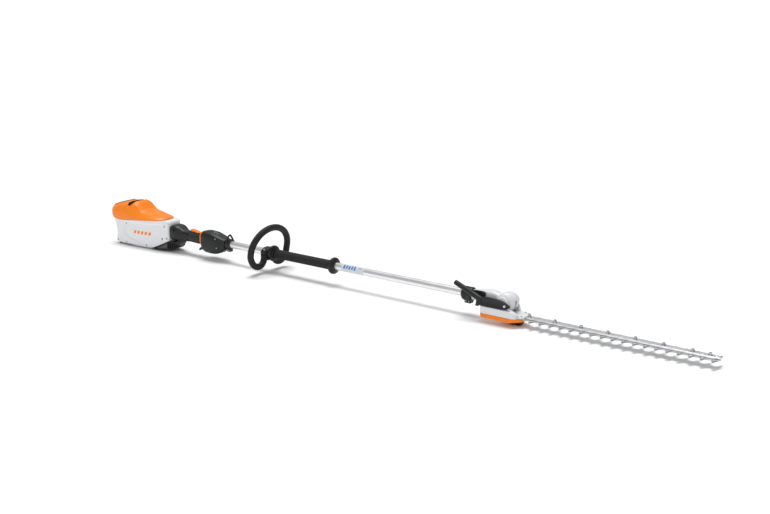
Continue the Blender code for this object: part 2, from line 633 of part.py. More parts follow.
bevel_pinion = toothed("bevel_pinion", 12, 6.4, 8.4, 0, 7, (1712, 0, 0), (1, 0, 0), STEEL, 0.72)
join(bevel_pinion, rod("pinion_shank", (1694.3, 0, 0), (1713, 0, 0), 5, STEEL, sides=16))
hang(bevel_pinion, 1712, 0, 0)
bevel_gear = toothed("bevel_gear", 16, 13.2, 15.4, 0, 6, (PIVOT_S, 19, 0), (0, -1, 0), STEEL, 0.8)
cut(bevel_gear, rod("bevel_gear_bore", (PIVOT_S, -10, 0), (PIVOT_S, 30, 0), 8.3, BLACK, sides=24))
hang(bevel_gear, PIVOT_S, 0, 0)

# ---------------------------------------------------------------- head, tilting side
CREST = -31.6
SPLIT_Z = -38.0
FLOOR_Z = -51.0
CENTRE_REAR = 1726.5
LOBE_PLAN = arc(1672, -36.5, 9.7, 270, 90, 7) + [(1745, -26.8), (1792, -26.8), (1788, -40), (1776, -46.2)]
CENTRE_PLAN = [(CENTRE_REAR, -30), (1790, -30), (1806, -22), (1806, 22), (1790, 30), (1776, 34),
    (CENTRE_REAR, 34)]

cutter_housing = slab("cutter_housing", LOBE_PLAN, "z", SPLIT_Z, -15.5, WHITE)
keep(cutter_housing, slab("lobe_side", [(1655, -15), (1768, -15), (1800, -33), (1800, -39), (1655, -39)],
    "y", -60, 0, WHITE))
bevel(cutter_housing, 3, 2)
centre_body = slab("centre_body", CENTRE_PLAN, "z", SPLIT_Z, CREST, WHITE)
join(cutter_housing, bevel(centre_body, 1.5, 2))
near_cheek = slab(
    "near_cheek", arc(PIVOT_S, 0, 21, -20, 200, 14) + [(PIVOT_S - 26, -37), (PIVOT_S + 30,
        -37)], "y", -34, -CHEEK_INNER, WHITE
)
far_cheek = slab(
    "far_cheek", arc(PIVOT_S, 0, 21, -20, 200, 14) + [(PIVOT_S - 6.5, -37), (PIVOT_S + 30,
        -37)], "y", CHEEK_INNER, 34, WHITE
)
join(cutter_housing, bevel(near_cheek, 1.2, 2), bevel(far_cheek, 1.2, 2))
for sign in (-1, 1):
    low, high = sorted((sign * 20, sign * 50))
    cut(cutter_housing, rod("cheek_hole_%d" % sign, (PIVOT_S, low, 0), (PIVOT_S, high, 0), 8.3, BLACK))
cut(cutter_housing, block("gear_chamber", (1728.2, 1793), (-25, 25), (-45, -33.6), BLACK))
cut(cutter_housing, rod("shaft_opening", (PIVOT_S, 0, -40), (PIVOT_S, 0, -20), 6.2, BLACK))
cut(cutter_housing, block("bar_notch", (1780, 1820), (-13, 13), (-45, -33), BLACK))

COVER_PLAN = (
    arc(1672, -36.5, 9.7, 270, 130, 7)
    + [(1700, -24), (CENTRE_REAR, -18), (CENTRE_REAR, 34), (1776, 34), (1790, 30), (1806, 22), (1806, -22),
        (1790, -36), (1776, -46.2)]
)
bottom_cover = slab("bottom_cover", COVER_PLAN, "z", FLOOR_Z, SPLIT_Z - GAP, ORANGE)
bevel(bottom_cover, 4, 2)
cut(bottom_cover, block("cover_chamber", (1731, 1795), (-20, 20), (-46, -30), BLACK))
cut(bottom_cover, block("blade_mouth", (1790, 1830), (-16.5, 16.5), (-44.3, -30), BLACK))
rest_foot = slab("rest_foot", [(1742, FLOOR_Z - GAP), (1748, -AXIS_HEIGHT), (1784, -AXIS_HEIGHT), (1790,
    FLOOR_Z - GAP)], "y", -10, 10, RUBBER)
bevel(rest_foot, 1.5, 2)

head_pinion = turned(
    "head_pinion", [(0, -34), (3.6, -34), (3.6, -14), (7.6, -14), (7.6, -11), (0, -11)], (PIVOT_S, 0,
        0), (0, 0, 1), STEEL, 20
)
join(head_pinion, toothed("head_spur", 10, 5.0, 6.6, -37.6, -34.6, (PIVOT_S, 0, 0), (0, 0, 1), STEEL))
join(head_pinion, rod("head_stub", (PIVOT_S, 0, -35), (PIVOT_S, 0, -33.5), 3.6, STEEL, sides=20))
hang(head_pinion, PIVOT_S, 0, -20)
CRANK_S = 1764.0
crank_gear = toothed("crank_gear", 20, 18.2, 20.6, -37.0, -34.6, (CRANK_S, 0, 0), (0, 0, 1), STEEL)
join(crank_gear, rod("crank_cam", (CRANK_S + 8.5, 0, -38.8), (CRANK_S + 8.5, 0, -36.5), 7, STEEL, sides=24))
hang(crank_gear, CRANK_S, 0, -36)

# Adjusting handle on the near flank: stalk, drop-shaped cover and the short foot below it.
HANDLE_Y = (-45.5, -34.6)
drop_outline = [(1650, -15), (1740, -14.6), (1760, -11), (1768, -5), (1758, 3), (1735, 11), (1700, 14.5),
    (1675, 13), (1656, 7)]
adjust_handle = bevel(slab("adjust_handle", drop_outline, "y", *HANDLE_Y, BLACK), 2.5, 3)
stalk = rod("stalk", (1569, -39, 41.5), (1668, -39, 1), 7.2, BLACK, 9.0, sides=20)
join(adjust_handle, bevel(stalk, 1.5, 2))
foot_outline = [(1646, -19), (1657, -19), (1664, -4), (1664, 4), (1652, 4)]
join(adjust_handle, bevel(slab("stalk_foot", foot_outline, "y", -44, -35.5, BLACK), 1.5, 2))

RELEASE_PIN = (1662.0, 8.0)
release_lever = slab("release_lever", [(1617, 14), (1622, 22), (1655, 24), (1669, 21), (1669, 3), (1655,
    3), (1645, 12)], "y", -26, -20, BLACK)
bevel(release_lever, 1.2, 2)
cut(release_lever, rod("release_hole", (RELEASE_PIN[0], -30, RELEASE_PIN[1]), (RELEASE_PIN[0], -15,
    RELEASE_PIN[1]), 2.4, BLACK, sides=16))
hang(release_lever, RELEASE_PIN[0], 0, RELEASE_PIN[1])
release_pin = rod("release_pin", (RELEASE_PIN[0], -29.6, RELEASE_PIN[1]), (RELEASE_PIN[0], -19.4,
    RELEASE_PIN[1]), 2.0, STEEL, sides=16)


# ---------------------------------------------------------------- cutter bar
BOLT_PLACES = [FIRST_BOLT + bolt * BOLT_PITCH for bolt in range(EVEN_BOLTS)] + [LAST_BOLT]


def tooth_side(side, root):
    """The toothed edge of a blade on one side, from the rear forward."""
    edge = []
    for tooth in range(TEETH):
        middle = FIRST_TOOTH + tooth * TOOTH_PITCH
        edge += [
            (middle - 9.5, side * root), (middle - 3.0, side * TOOTH_REACH), (middle + 3.0,
                side * TOOTH_REACH),
            (min(middle + 9.5, LENGTH - 6), side * root),
        ]
    return edge


def blade(name, top):
    """One reciprocating blade with slots for the bolts."""
    near = [(1746, -SPINE_HALF)] + tooth_side(-1, SPINE_HALF) + [(LENGTH - 3, -6), (LENGTH - 1.5, 0)]
    far = [(LENGTH - 3, 6)] + list(reversed(tooth_side(1, SPINE_HALF))) + [(1746, SPINE_HALF)]
    reach = BLADE_STROKE + 4.5
    slots = [
        arc(s + reach - 4, 0, 4, -90, 90, 6) + arc(s - reach + 4, 0, 4, 90, 270, 6) for s in BOLT_PLACES
    ]
    return slab(name, near + far, "z", top - BLADE_THICK, top, STEEL, slots)


upper_blade = blade("upper_blade", UPPER_BLADE_TOP)
lower_blade = blade("lower_blade", LOWER_BLADE_TOP)

BAR_BOTTOM = UPPER_BLADE_TOP + GAP
BAR_TOP = -33.4
bar_outline = (
    [(1787, -12)] + [(2400, -12), (2414, -7), (LENGTH, 0), (2414, 7), (2400, 12)] + [(1787, 12)]
)
guide_bar = slab("guide_bar", bar_outline, "z", BAR_BOTTOM, BAR_TOP, ALUMINIUM)
bevel(guide_bar, 1.2, 2)
for bolt, s in enumerate(BOLT_PLACES):
    bolt_profile = [(0, -46.2), (6, -46.2), (6, -44.2), (3, -44.2), (3, -36), (5.4, -36), (5.4, -27.2), (3,
        -27.2), (3, -25), (0, -25)]
    join(guide_bar, turned("bolt_%d" % bolt, bolt_profile, (s, 0, 0), (0, 0, 1), STEEL, 12))
join(guide_bar, slab("end_lug", [(2398, -34), (2404, -29.5), (2409, -29.5), (2412, -34)], "y", -3, 3,
    STEEL))
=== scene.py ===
"""Looks of the long-reach hedge trimmer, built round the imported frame. Lengths are millimetres."""

import math

import bmesh
import bpy
import numpy as np
from mathutils import Matrix, Vector


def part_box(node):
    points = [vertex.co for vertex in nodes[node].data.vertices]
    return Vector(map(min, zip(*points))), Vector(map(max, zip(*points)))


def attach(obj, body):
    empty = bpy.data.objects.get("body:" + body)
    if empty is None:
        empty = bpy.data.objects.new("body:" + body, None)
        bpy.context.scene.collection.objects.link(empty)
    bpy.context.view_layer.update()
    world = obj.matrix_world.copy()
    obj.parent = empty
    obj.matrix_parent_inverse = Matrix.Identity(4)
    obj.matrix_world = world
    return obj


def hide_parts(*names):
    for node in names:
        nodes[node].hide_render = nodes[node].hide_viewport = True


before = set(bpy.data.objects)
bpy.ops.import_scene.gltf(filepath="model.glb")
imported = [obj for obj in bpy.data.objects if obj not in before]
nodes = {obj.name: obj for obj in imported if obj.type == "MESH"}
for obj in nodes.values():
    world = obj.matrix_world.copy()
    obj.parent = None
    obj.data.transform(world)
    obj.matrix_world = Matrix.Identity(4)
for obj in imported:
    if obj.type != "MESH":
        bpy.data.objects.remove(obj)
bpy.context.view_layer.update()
scene = bpy.context.scene

# The tool's own frame: s forward from the rear end, y to the left and z up from the shaft's axis.
# The shaft tube in the frame gives both the axis and where s is zero.
MM = 0.001
TUBE_START = 290.0
tube_low, tube_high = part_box("shaft_tube")
AXIS_HEIGHT = (tube_low[2] + tube_high[2]) / 2
REAR_END = tube_low[0] - TUBE_START * MM


def at(s, y, z):
    """A point of the tool's frame in metres."""
    return Vector((REAR_END + s * MM, y * MM, AXIS_HEIGHT + z * MM))


# ---------------------------------------------------------------- floor, light and camera
# A pale studio floor, a broad soft light from above, a weaker one in front, and a long lens from
# the tool's right side.
def lamp(name, place, aim, size, power):
    light = bpy.data.lights.new(name, "AREA")
    light.shape = "DISK"
    light.size = size
    light.energy = power
    holder = bpy.data.objects.new(name, light)
    scene.collection.objects.link(holder)
    holder.location = place
    holder.rotation_euler = (Vector(aim) - Vector(place)).to_track_quat("-Z", "Y").to_euler()


def studio():
    form = bmesh.new()
    bmesh.ops.create_grid(form, x_segments=8, y_segments=8, size=30)
    mesh = bpy.data.meshes.new("studio_floor")
    form.to_mesh(mesh)
    form.free()
    floor = bpy.data.objects.new("studio_floor", mesh)
    scene.collection.objects.link(floor)
    floor.location.z = -0.0005
    paint = bpy.data.materials.new("studio_floor")
    paint.use_nodes = True
    shader = paint.node_tree.nodes["Principled BSDF"]
    shader.inputs["Base Color"].default_value = (0.93, 0.93, 0.93, 1)
    shader.inputs["Roughness"].default_value = 0.7
    mesh.materials.append(paint)
    world = bpy.data.worlds.new("studio")
    scene.world = world
    world.use_nodes = True
    world.node_tree.nodes["Background"].inputs["Color"].default_value = (1.0, 1.0, 1.0, 1)
    world.node_tree.nodes["Background"].inputs["Strength"].default_value = 0.46
    above = bpy.data.lights.new("overhead", "SUN")
    above.angle = math.radians(30)
    above.energy = 2.25
    holder = bpy.data.objects.new("overhead", above)
    scene.collection.objects.link(holder)
    holder.rotation_euler = Vector((-0.16, 0.18, 1.0)).to_track_quat("Z", "Y").to_euler()
    lamp("front_lamp", (0.6, -4.2, 1.9), (-0.1, 0, 0.1), 3.0, 38)
    scene.view_settings.view_transform = "Standard"


def camera():
    lens = bpy.data.cameras.new("camera")
    lens.lens = 62.65
    lens.sensor_width = 36
    holder = bpy.data.objects.new("camera", lens)
    scene.collection.objects.link(holder)
    holder.location = (2.612, -3.257, 1.191)
    holder.rotation_euler = (math.radians(75.6), 0, math.radians(38.1))
    scene.camera = holder


studio()
camera()


# ---------------------------------------------------------------- light grey housing shells
# Two halves moulded in light grey glass-filled nylon, 2.4 mm thick, screwed together on the tool's
# centre plane. The flanks carry a shallow panel with a slanting crease, sunk screws and five bars.
def surface(name):
    """A new material, its node tree, shader and a texture space that is fixed to the piece."""
    look = bpy.data.materials.new(name)
    look.use_nodes = True
    where = look.node_tree.nodes.new("ShaderNodeTexCoord")
    return look, look.node_tree, look.node_tree.nodes["Principled BSDF"], where.outputs["Object"]


def add(tree, kind, values=(), links=(), **settings):
    """One node with its settings, constant values and incoming links."""
    node = tree.nodes.new("ShaderNode" + kind)
    for setting, value in settings.items():
        setattr(node, setting, value)
    for socket, value in values:
        node.inputs[socket].default_value = value
    for socket, source in links:
        tree.links.new(source, node.inputs[socket])
    return node


def grained(tree, shader, height, strength):
    """Lets a height pattern show as fine relief 0.2 mm deep."""
    bump = add(tree, "Bump", [("Strength", strength), ("Distance", 0.2 * MM)], [("Height", height)])
    tree.links.new(bump.outputs["Normal"], shader.inputs["Normal"])


def moulded(name, colour, rough, grain=2600, relief=0.12, mottle=0.06, worn=0.25, coat=0.0):
    """Moulded plastic: fine spark-eroded grain, slight mottle, and edges rubbed a little paler."""
    look, tree, shader, place = surface(name)
    fine = add(tree, "TexNoise", [("Scale", grain), ("Detail", 2)], [("Vector", place)]).outputs["Fac"]
    broad = add(tree, "TexNoise", [("Scale", 22), ("Detail", 5)], [("Vector", place)]).outputs["Fac"]
    tone = add(tree, "MapRange", [("To Min", 1 - mottle), ("To Max", 1 + mottle)], [("Value", broad)])
    tinted = add(tree, "Mix", [("Factor", 1)], data_type="RGBA", blend_type="MULTIPLY")
    tinted.inputs["A"].default_value = (*colour, 1)
    tree.links.new(tone.outputs["Result"], tinted.inputs["B"])
    edge = add(tree, "NewGeometry").outputs["Pointiness"]
    rubbed = add(tree, "MapRange", [("From Min", 0.52), ("From Max", 0.62), ("To Max", worn)],
        [("Value", edge)])
    paled = add(tree, "Mix", data_type="RGBA")
    paled.inputs["B"].default_value = (*[min(1, c * 1.25 + 0.05) for c in colour], 1)
    tree.links.new(rubbed.outputs["Result"], paled.inputs["Factor"])
    tree.links.new(tinted.outputs["Result"], paled.inputs["A"])
    tree.links.new(paled.outputs["Result"], shader.inputs["Base Color"])
    gloss = add(tree, "MapRange", [("To Min", rough - 0.06), ("To Max", rough + 0.08)], [("Value", broad)])
    tree.links.new(gloss.outputs["Result"], shader.inputs["Roughness"])
    grained(tree, shader, fine, relief)
    shader.inputs["Specular IOR Level"].default_value = 0.35
    shader.inputs["Coat Weight"].default_value = coat
    shader.inputs["Coat Roughness"].default_value = 0.15
    return look


LIGHT_GREY = moulded("light_grey_nylon", (0.76, 0.77, 0.79), 0.34, mottle=0.02, coat=0.15)
ORANGE = moulded("orange_nylon", (0.95, 0.235, 0.006), 0.36, mottle=0.03, worn=0.08, coat=0.05)
BLACK = moulded("black_nylon", (0.0075, 0.008, 0.0088), 0.42, relief=0.25, mottle=0.12, worn=0.12)
DARK_GREY = moulded("dark_grey_nylon", (0.085, 0.087, 0.092), 0.5, relief=0.2, mottle=0.1)


def metal(name, colour, rough, brushed=(1, 60, 60), strength=0.08, spread=0.08):
    """Bare metal with drawing or grinding marks along one axis and faint handling smears."""
    look, tree, shader, place = surface(name)
    shader.inputs["Metallic"].default_value = 1
    stretch = add(tree, "Mapping", [("Scale", brushed)], [("Vector", place)]).outputs["Vector"]
    lines = add(tree, "TexNoise", [("Scale", 40), ("Detail", 6)], [("Vector", stretch)]).outputs["Fac"]
    smear = add(tree, "TexNoise", [("Scale", 14), ("Detail", 4)], [("Vector", place)]).outputs["Fac"]
    smooth, dull = max(rough - spread, 0.05), rough + spread
    gloss = add(tree, "MapRange", [("To Min", smooth), ("To Max", dull)], [("Value", smear)])
    tree.links.new(gloss.outputs["Result"], shader.inputs["Roughness"])
    tint = add(tree, "ValToRGB", links=[("Fac", lines)])
    tint.color_ramp.elements[0].color = (*[c * 0.86 for c in colour], 1)
    tint.color_ramp.elements[1].color = (*colour, 1)
    tree.links.new(tint.outputs["Color"], shader.inputs["Base Color"])
    grained(tree, shader, lines, strength)
    return look


SCREW_STEEL = metal("zinc_screw", (0.50, 0.50, 0.52), 0.34, (20, 20, 20))


def through(points, where):
    """A smooth curve through (position, value) points, level beyond its ends."""
    places = [p for p, _ in points]
    if where <= places[0]:
        return points[0][1]
    if where >= places[-1]:
        return points[-1][1]
    i = max(k for k, p in enumerate(places) if p <= where)
    slope = []
    for k in range(len(points)):
        low, high = max(k - 1, 0), min(k + 1, len(points) - 1)
        slope.append((points[high][1] - points[low][1]) / (points[high][0] - points[low][0]))
    span = places[i + 1] - places[i]
    t = (where - places[i]) / span
    start, end = points[i][1], points[i + 1][1]
    rise = (2 * t**3 - 3 * t**2 + 1) * start + (3 * t**2 - 2 * t**3) * end
    return rise + (t**3 - 2 * t**2 + t) * span * slope[i] + (t**3 - t**2) * span * slope[i + 1]


def piece_of(name, form, look=None):
    """A mesh object from a bmesh."""
    bmesh.ops.recalc_face_normals(form, faces=form.faces)
    mesh = bpy.data.meshes.new(name)
    form.to_mesh(mesh)
    form.free()
    if look:
        mesh.materials.append(look)
    piece = bpy.data.objects.new(name, mesh)
    scene.collection.objects.link(piece)
    return piece


def loft(name, rings, look, open_top=False):
    """A skin over rings of points with the same count, with flat ends."""
    form = bmesh.new()
    rows = [[form.verts.new(point) for point in ring] for ring in rings]
    count = len(rings[0])
    for row, following in zip(rows, rows[1:]):
        for i in range(count):
            j = (i + 1) % count
            form.faces.new((row[i], row[j], following[j], following[i]))
    form.faces.new(list(reversed(rows[0])))
    if not open_top:
        form.faces.new(rows[-1])
    return piece_of(name, form, look)


def slab(name, outline, across, low, high, look):
    """A flat outline extruded across one axis: (s, z) across y, (s, y) across z, (y, z) across s."""
    order = {
        "y": lambda u, v, w: at(u, w, v),
        "z": lambda u, v, w: at(u, v, w),
        "s": lambda u, v, w: at(w, u, v),
    }[across]
    return loft(name, [[order(u, v, side) for u, v in outline] for side in (low, high)], look)


def both_sides(half):
    """An outline across the shaft from its (y, value) half, mirrored in the centre plane."""
    return half + [(-y, value) for y, value in reversed(half)]


def block(name, s, y, z, look):
    return slab(name, [(s[0], y[0]), (s[1], y[0]), (s[1], y[1]), (s[0], y[1])], "z", z[0], z[1], look)


def upright_to(base, axis):
    """Stands an upright piece made at zero on a base, along an axis."""
    turn = Vector((0, 0, 1)).rotation_difference(Vector(axis)).to_matrix().to_4x4()
    return Matrix.Translation(at(*base)) @ turn


def turned(name, profile, base, axis, look, steps=48):
    """A (radius, height) profile turned round an axis through base."""
    form = bmesh.new()
    points = [form.verts.new((radius * MM, 0, height * MM)) for radius, height in profile]
    solid = profile[0][0] == 0 and profile[-1][0] == 0
    edges = [form.edges.new(pair) for pair in zip(points, points[1:] if solid else points[1:] + points[:1])]
    bmesh.ops.spin(form, geom=points + edges, cent=(0, 0, 0), axis=(0, 0, 1), angle=math.tau, steps=steps,
        use_duplicate=False)
    bmesh.ops.remove_doubles(form, verts=form.verts, dist=1e-7)
    form.transform(upright_to(base, axis))
    return piece_of(name, form, look)


def peg(name, start, end, radius, look, steps=32):
    """A plain round bar, used as a cutter or joined to something."""
    along = at(*end) - at(*start)
    length = along.length / MM
    return turned(name, [(0, 0), (radius, 0), (radius, length), (0, length)], start, along, look, steps)


def settle(piece):
    """Applies the piece's modifiers to its mesh."""
    bpy.context.view_layer.update()
    graph = bpy.context.evaluated_depsgraph_get()
    mesh = bpy.data.meshes.new_from_object(piece.evaluated_get(graph))
    piece.modifiers.clear()
    piece.data = mesh
    return piece


def combine(piece, operation, tools):
    for tool in tools:
        step = piece.modifiers.new(operation, "BOOLEAN")
        step.operation = operation
        step.solver = "EXACT"
        step.object = tool
    settle(piece)
    for tool in tools:
        bpy.data.objects.remove(tool, do_unlink=True)
    return piece


def cut(piece, *tools):
    return combine(piece, "DIFFERENCE", tools)


def join(piece, *tools):
    return combine(piece, "UNION", tools)


def bore(piece, start, end, radius, steps=32):
    """Drills a round hole; a cutter's own look never shows."""
    return cut(piece, peg("drill", start, end, radius, None, steps))


def carve(piece, outline, across, low, high):
    """Takes an extruded outline out of a piece."""
    return cut(piece, slab("carver", outline, across, low, high, None))


def notch(piece, s, y, z):
    """Takes a square block out of a piece."""
    return cut(piece, block("notcher", s, y, z, None))


def soften(piece, width, segments=3, angle=32):
    """Rounds sharp edges."""
    rounding = piece.modifiers.new("Bevel", "BEVEL")
    rounding.width = width * MM
    rounding.segments = segments
    rounding.limit_method = "ANGLE"
    rounding.angle_limit = math.radians(angle)
    rounding.use_clamp_overlap = True
    return settle(piece)


def polish(piece, angle=34):
    """Smooth shading that keeps real edges sharp."""
    piece.data.shade_smooth()
    piece.data.set_sharp_from_angle(angle=math.radians(angle))
    return piece


def fit(piece, body, slot, *stands_for):
    """Polishes a finished piece, ties it to its body and hides the CAD nodes it stands for; slot is not
    used.
    """
    polish(piece)
    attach(piece, body)
    if stands_for:
        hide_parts(*stands_for)
    return piece


def hexagon(u, v, radius):
    return [(u + radius * math.cos(k * math.pi / 3), v + radius * math.sin(k * math.pi / 3))
        for k in range(6)]


def cross_screw(name, s, y, z, axis, body, radius):
    """A pan-head screw with a star recess; its head faces along the axis."""
    profile = [(0, -3), (radius * 0.5, -3), (radius * 0.5, 0), (radius, 0), (radius, 1.0),
        (radius * 0.75, 1.7), (0, 1.9)]
    screw = turned(name, profile, (s, y, z), axis, SCREW_STEEL, 24)
    star = []
    for corner in range(12):
        reach = radius * (0.55 if corner % 2 else 0.32) * MM
        turn = math.tau * corner / 12
        star.append((reach * math.cos(turn), reach * math.sin(turn)))
    move = upright_to((s, y, z), axis)
    recess = loft(name + "_recess", [[move @ Vector((u, v, h * MM)) for u, v in star] for h in (0.7, 3.0)],
        SCREW_STEEL)
    return fit(cut(screw, recess), body, "steel")


PARTING = [(12, 40), (22, 34), (45, 30), (75, 29), (160, 37), (285, 47), (293, 45.5), (299, 39)]
PLAN_HALF = [(8, 44), (30, 55), (110, 58.6), (190, 54.6), (250, 43.5), (299, 31)]
REAR_FACE = [(-61, 41), (-50, 32), (-34, 36), (-18, 38), (5, 33), (24, 25), (34, 20), (44, 11.5), (60, 11)]
FRONT_FACE = [(-61, 222), (-26, 298), (34, 298.5), (42, 296.5), (48, 290)]
DRAFT = [(-61, 0.955), (-40, 0.985), (0, 1.0), (40, 0.995), (70, 0.98)]
SHELL = 2.4


def shell_ring(z, inset):
    """One level of the housing, going round from the rear on the left to the rear on the right."""
    rear = through(REAR_FACE, z) + inset
    front = np.interp(z, [p for p, _ in FRONT_FACE], [v for _, v in FRONT_FACE]) - inset
    draft = through(DRAFT, z)
    corner, nose = 20.0 - inset * 0.5, 9.0
    half = [(rear, 0.0), (rear, 14.0), (rear, 24.0)]
    wide = through(PLAN_HALF, rear + corner) * draft - inset
    half += [(rear + corner * (1 - math.cos(t)), wide - corner + corner * math.sin(t))
        for t in np.linspace(0.0, math.pi / 2, 9)]
    for s in np.linspace(rear + corner, front - nose, 62)[1:-1]:
        half.append((s, through(PLAN_HALF, s) * draft - inset))
    narrow = through(PLAN_HALF, front - nose) * draft - inset
    half += [(front - nose + nose * math.sin(t), narrow - nose + nose * math.cos(t))
        for t in np.linspace(0.0, math.pi / 2, 6)]
    half.append((front, 0.0))
    ring = [at(s, y, z) for s, y in half]
    ring += [at(s, -y, z) for s, y in reversed(half[1:-1])]
    return ring


def skin_body(name, inset, look, open_top=False):
    """The housing's solid form, moved in from its outer surface by inset."""
    levels = [(-61.0, 9.0), (-60.6, 6.0), (-59.2, 3.2), (-56.8, 1.2), (-54.0, 0.3)]
    levels += [(z, 0.0) for z in np.linspace(-51, 58, 32)]
    return loft(name, [shell_ring(z, step + inset) for z, step in levels], look, open_top)


def flank_layer(name, outer, inner, outline, look):
    """A layer of the housing's skin between two depths, trimmed to an outline seen from the side."""
    layer = skin_body(name, outer, look)
    cut(layer, skin_body(name + "_inner", inner, look))
    return combine(layer, "INTERSECT", [slab(name + "_trim", outline, "y", -90, 90, look)])


PANEL = [(97, 26), (94, 16), (93, -16), (97, -24), (104, -27.5), (190, -53.5), (204, -56), (224, -54),
    (280, -27), (285, -20), (285, 22), (280, 30), (270, 31), (160, 28)]


def housing_shell():
    skin = skin_body("housing_skin", 0.0, LIGHT_GREY, open_top=True)
    wall = skin.modifiers.new("Wall", "SOLIDIFY")
    wall.thickness = SHELL * MM
    wall.offset = -1
    settle(skin)
    above = [(s, through(PARTING, s)) for s in np.linspace(5, 298.5, 40)] + [(330, 39), (330, 90), (5, 90)]
    lip = slab("above_parting", above, "y", -80, 80, LIGHT_GREY)
    arch = peg("base_arch", (112, -80, -86), (112, 80, -86), 29, LIGHT_GREY, 64)
    nose_bore = peg("tube_bore", (280, 0, 0), (320, 0, 0), 13.4, LIGHT_GREY)
    deck_rings = []
    for s in (240, 246, 254, 262, 270, 278, 286, 292, 296):
        wide, top = through(PLAN_HALF, s) - (2.2 if s < 290 else 6.0), through(PARTING, s) - 0.05
        corners = ((-wide, top), (wide, top), (wide, top - 3), (-wide, top - 3))
        deck_rings.append([at(s, y, z) for y, z in corners])
    cut(skin, lip, arch, nose_bore, flank_layer("panel", -6.0, 1.1, PANEL, LIGHT_GREY))
    return join(skin, loft("front_deck", deck_rings, LIGHT_GREY))


def keep_side(half, side, seam):
    """Cuts away everything on the other side of the parting plane, and half the seam's gap."""
    notch(half, (-20, 600), (-90, seam) if side > 0 else (-seam, 90), (-90, 90))


SIDE_SCREWS = [(101.9, 19.7), (281, 27), (270.6, -19.8), (290, -16.5), (199.8, -50), (52, -49), (99, -52)]


def housing_half(name, side):
    """One shell half with its sunk screws."""
    half = housing_shell()
    half.name = name
    for count, (s, z) in enumerate(SIDE_SCREWS):
        flank = side * through(PLAN_HALF, s) * through(DRAFT, z)
        bore(half, (s, flank - side * 3.4, z), (s, flank + side * 8, z), 3.6, 28)
        boss = turned("%s_boss_%d" % (name, count), [(0, -4), (4.9, -4), (4.9, 0.6), (0, 0.6)],
            (s, flank - side * 3.6, z), (0, side, 0), BLACK, 28)
        fit(boss, "frame", "black_plastic")
        cross_screw("%s_screw_%d" % (name, count), s, flank - side * 2.9, z, (0, side, 0), "frame", 2.6)
    keep_side(half, side, 0.15)
    soften(half, 0.5, 2, 40)
    return fit(half, "frame", "light_grey_housing", name)


housing_half("housing_left", 1)
housing_half("housing_right", -1)
for bar in range(5):
    start = 141 + 17.5 * bar
    slanted = [(start, -12.5), (start + 10.5, -12.5), (start + 13.5, -1), (start + 3, -1)]
    fit(flank_layer("flank_bar_%d" % bar, 0.75, 1.4, slanted, ORANGE), "frame", "orange_housing")


# ---------------------------------------------------------------- orange hood
# One moulded cover over the battery bay and motor. It has a mouth at the back for the battery, a
# pocket for the latch, and a hump that falls to a long nose over the housing's front.
HOOD_TOP = [(0, 62), (3, 67), (20, 73.2), (62, 88), (98, 93.5), (122, 98.4), (130, 98.8), (138, 95.4),
    (164, 70.6), (176, 66.6), (215, 61), (258, 53.4), (268, 50.6)]
HOOD_FOOT = [(0, 50), (5, 45.5), (12, 40.3), (22, 34.3), (45, 30.3), (75, 29.3), (160, 37.3), (268, 45.9)]
HOOD_WALL = [(0, 0.45), (95, 0.45), (132, 0.30), (170, 0.34), (268, 0.4)]
HOOD_SHOULDER = [(0, 0.90), (85, 0.86), (132, 0.68), (170, 0.72), (268, 0.7)]
HOOD_ROOF = [(0, 0.70), (60, 0.72), (98, 0.58), (132, 0.40), (170, 0.38), (268, 0.34)]
REAR_CORNER, NOSE_START, NOSE_LENGTH = 20.0, 236, 32


def level(points, where):
    """A straight-line reading between (position, value) points."""
    return float(np.interp(where, [p for p, _ in points], [v for _, v in points]))


def hood_ring(s, inset=0.0):
    """One cross-section: an upright wall, a sloping shoulder and a nearly flat roof."""
    foot = level(HOOD_FOOT, s) - inset
    top = level(HOOD_TOP, s) - inset
    wide = through(PLAN_HALF, max(s, 12)) - inset
    if s < REAR_CORNER:
        rounded = math.sqrt(max(REAR_CORNER**2 - (REAR_CORNER - s) ** 2, 0))
        wide = wide - REAR_CORNER + rounded * 0.9 + REAR_CORNER * 0.1
    if s > NOSE_START:
        wide *= math.sqrt(max(1 - 0.80 * ((s - NOSE_START) / NOSE_LENGTH) ** 2.4, 0.1))
    tall = top - foot
    half = [(wide, foot), (wide * 1.004, foot + tall * level(HOOD_WALL, s) * 0.5),
        (wide * 0.995, foot + tall * level(HOOD_WALL, s)),
        (wide * level(HOOD_SHOULDER, s), foot + tall * 0.86), (wide * level(HOOD_ROOF, s), top),
        (wide * 0.2, top + 0.5)]
    return [at(s, y, z) for y, z in both_sides(half)]


HOOD_STATIONS = [0.2, 1, 3, 6, 10, 15, 20, 30, 45, 62, 80, 92, 104, 114, 122, 127, 131, 135, 140, 146, 152,
    158, 163, 168, 176, 192, 215, 232, 244, 252, 258, 262, 265, 267, 268]
BATTERY_LEAN = math.radians(19.4)
BATTERY_FACE = (36.0, 79.0)
PACK_SIZE = (23.0, 36.0, 9.0)  # half-length, half-width and corner radius


def leaned(piece, s, z):
    """Leans a piece back about the battery face's centre, so that it follows the bay."""
    centre = Matrix.Translation(at(s, 0, z))
    piece.data.transform(centre @ Matrix.Rotation(-BATTERY_LEAN, 4, "Y") @ centre.inverted())
    return piece


def corner_box(u, v, round_, count=7):
    """A rounded rectangle about zero."""
    points = []
    for turn, (cu, cv) in enumerate(((1, 1), (-1, 1), (-1, -1), (1, -1))):
        for k in range(count):
            angle = math.pi / 2 * (turn + k / (count - 1))
            points.append((cu * (u - round_) + round_ * math.cos(angle),
                cv * (v - round_) + round_ * math.sin(angle)))
    return points


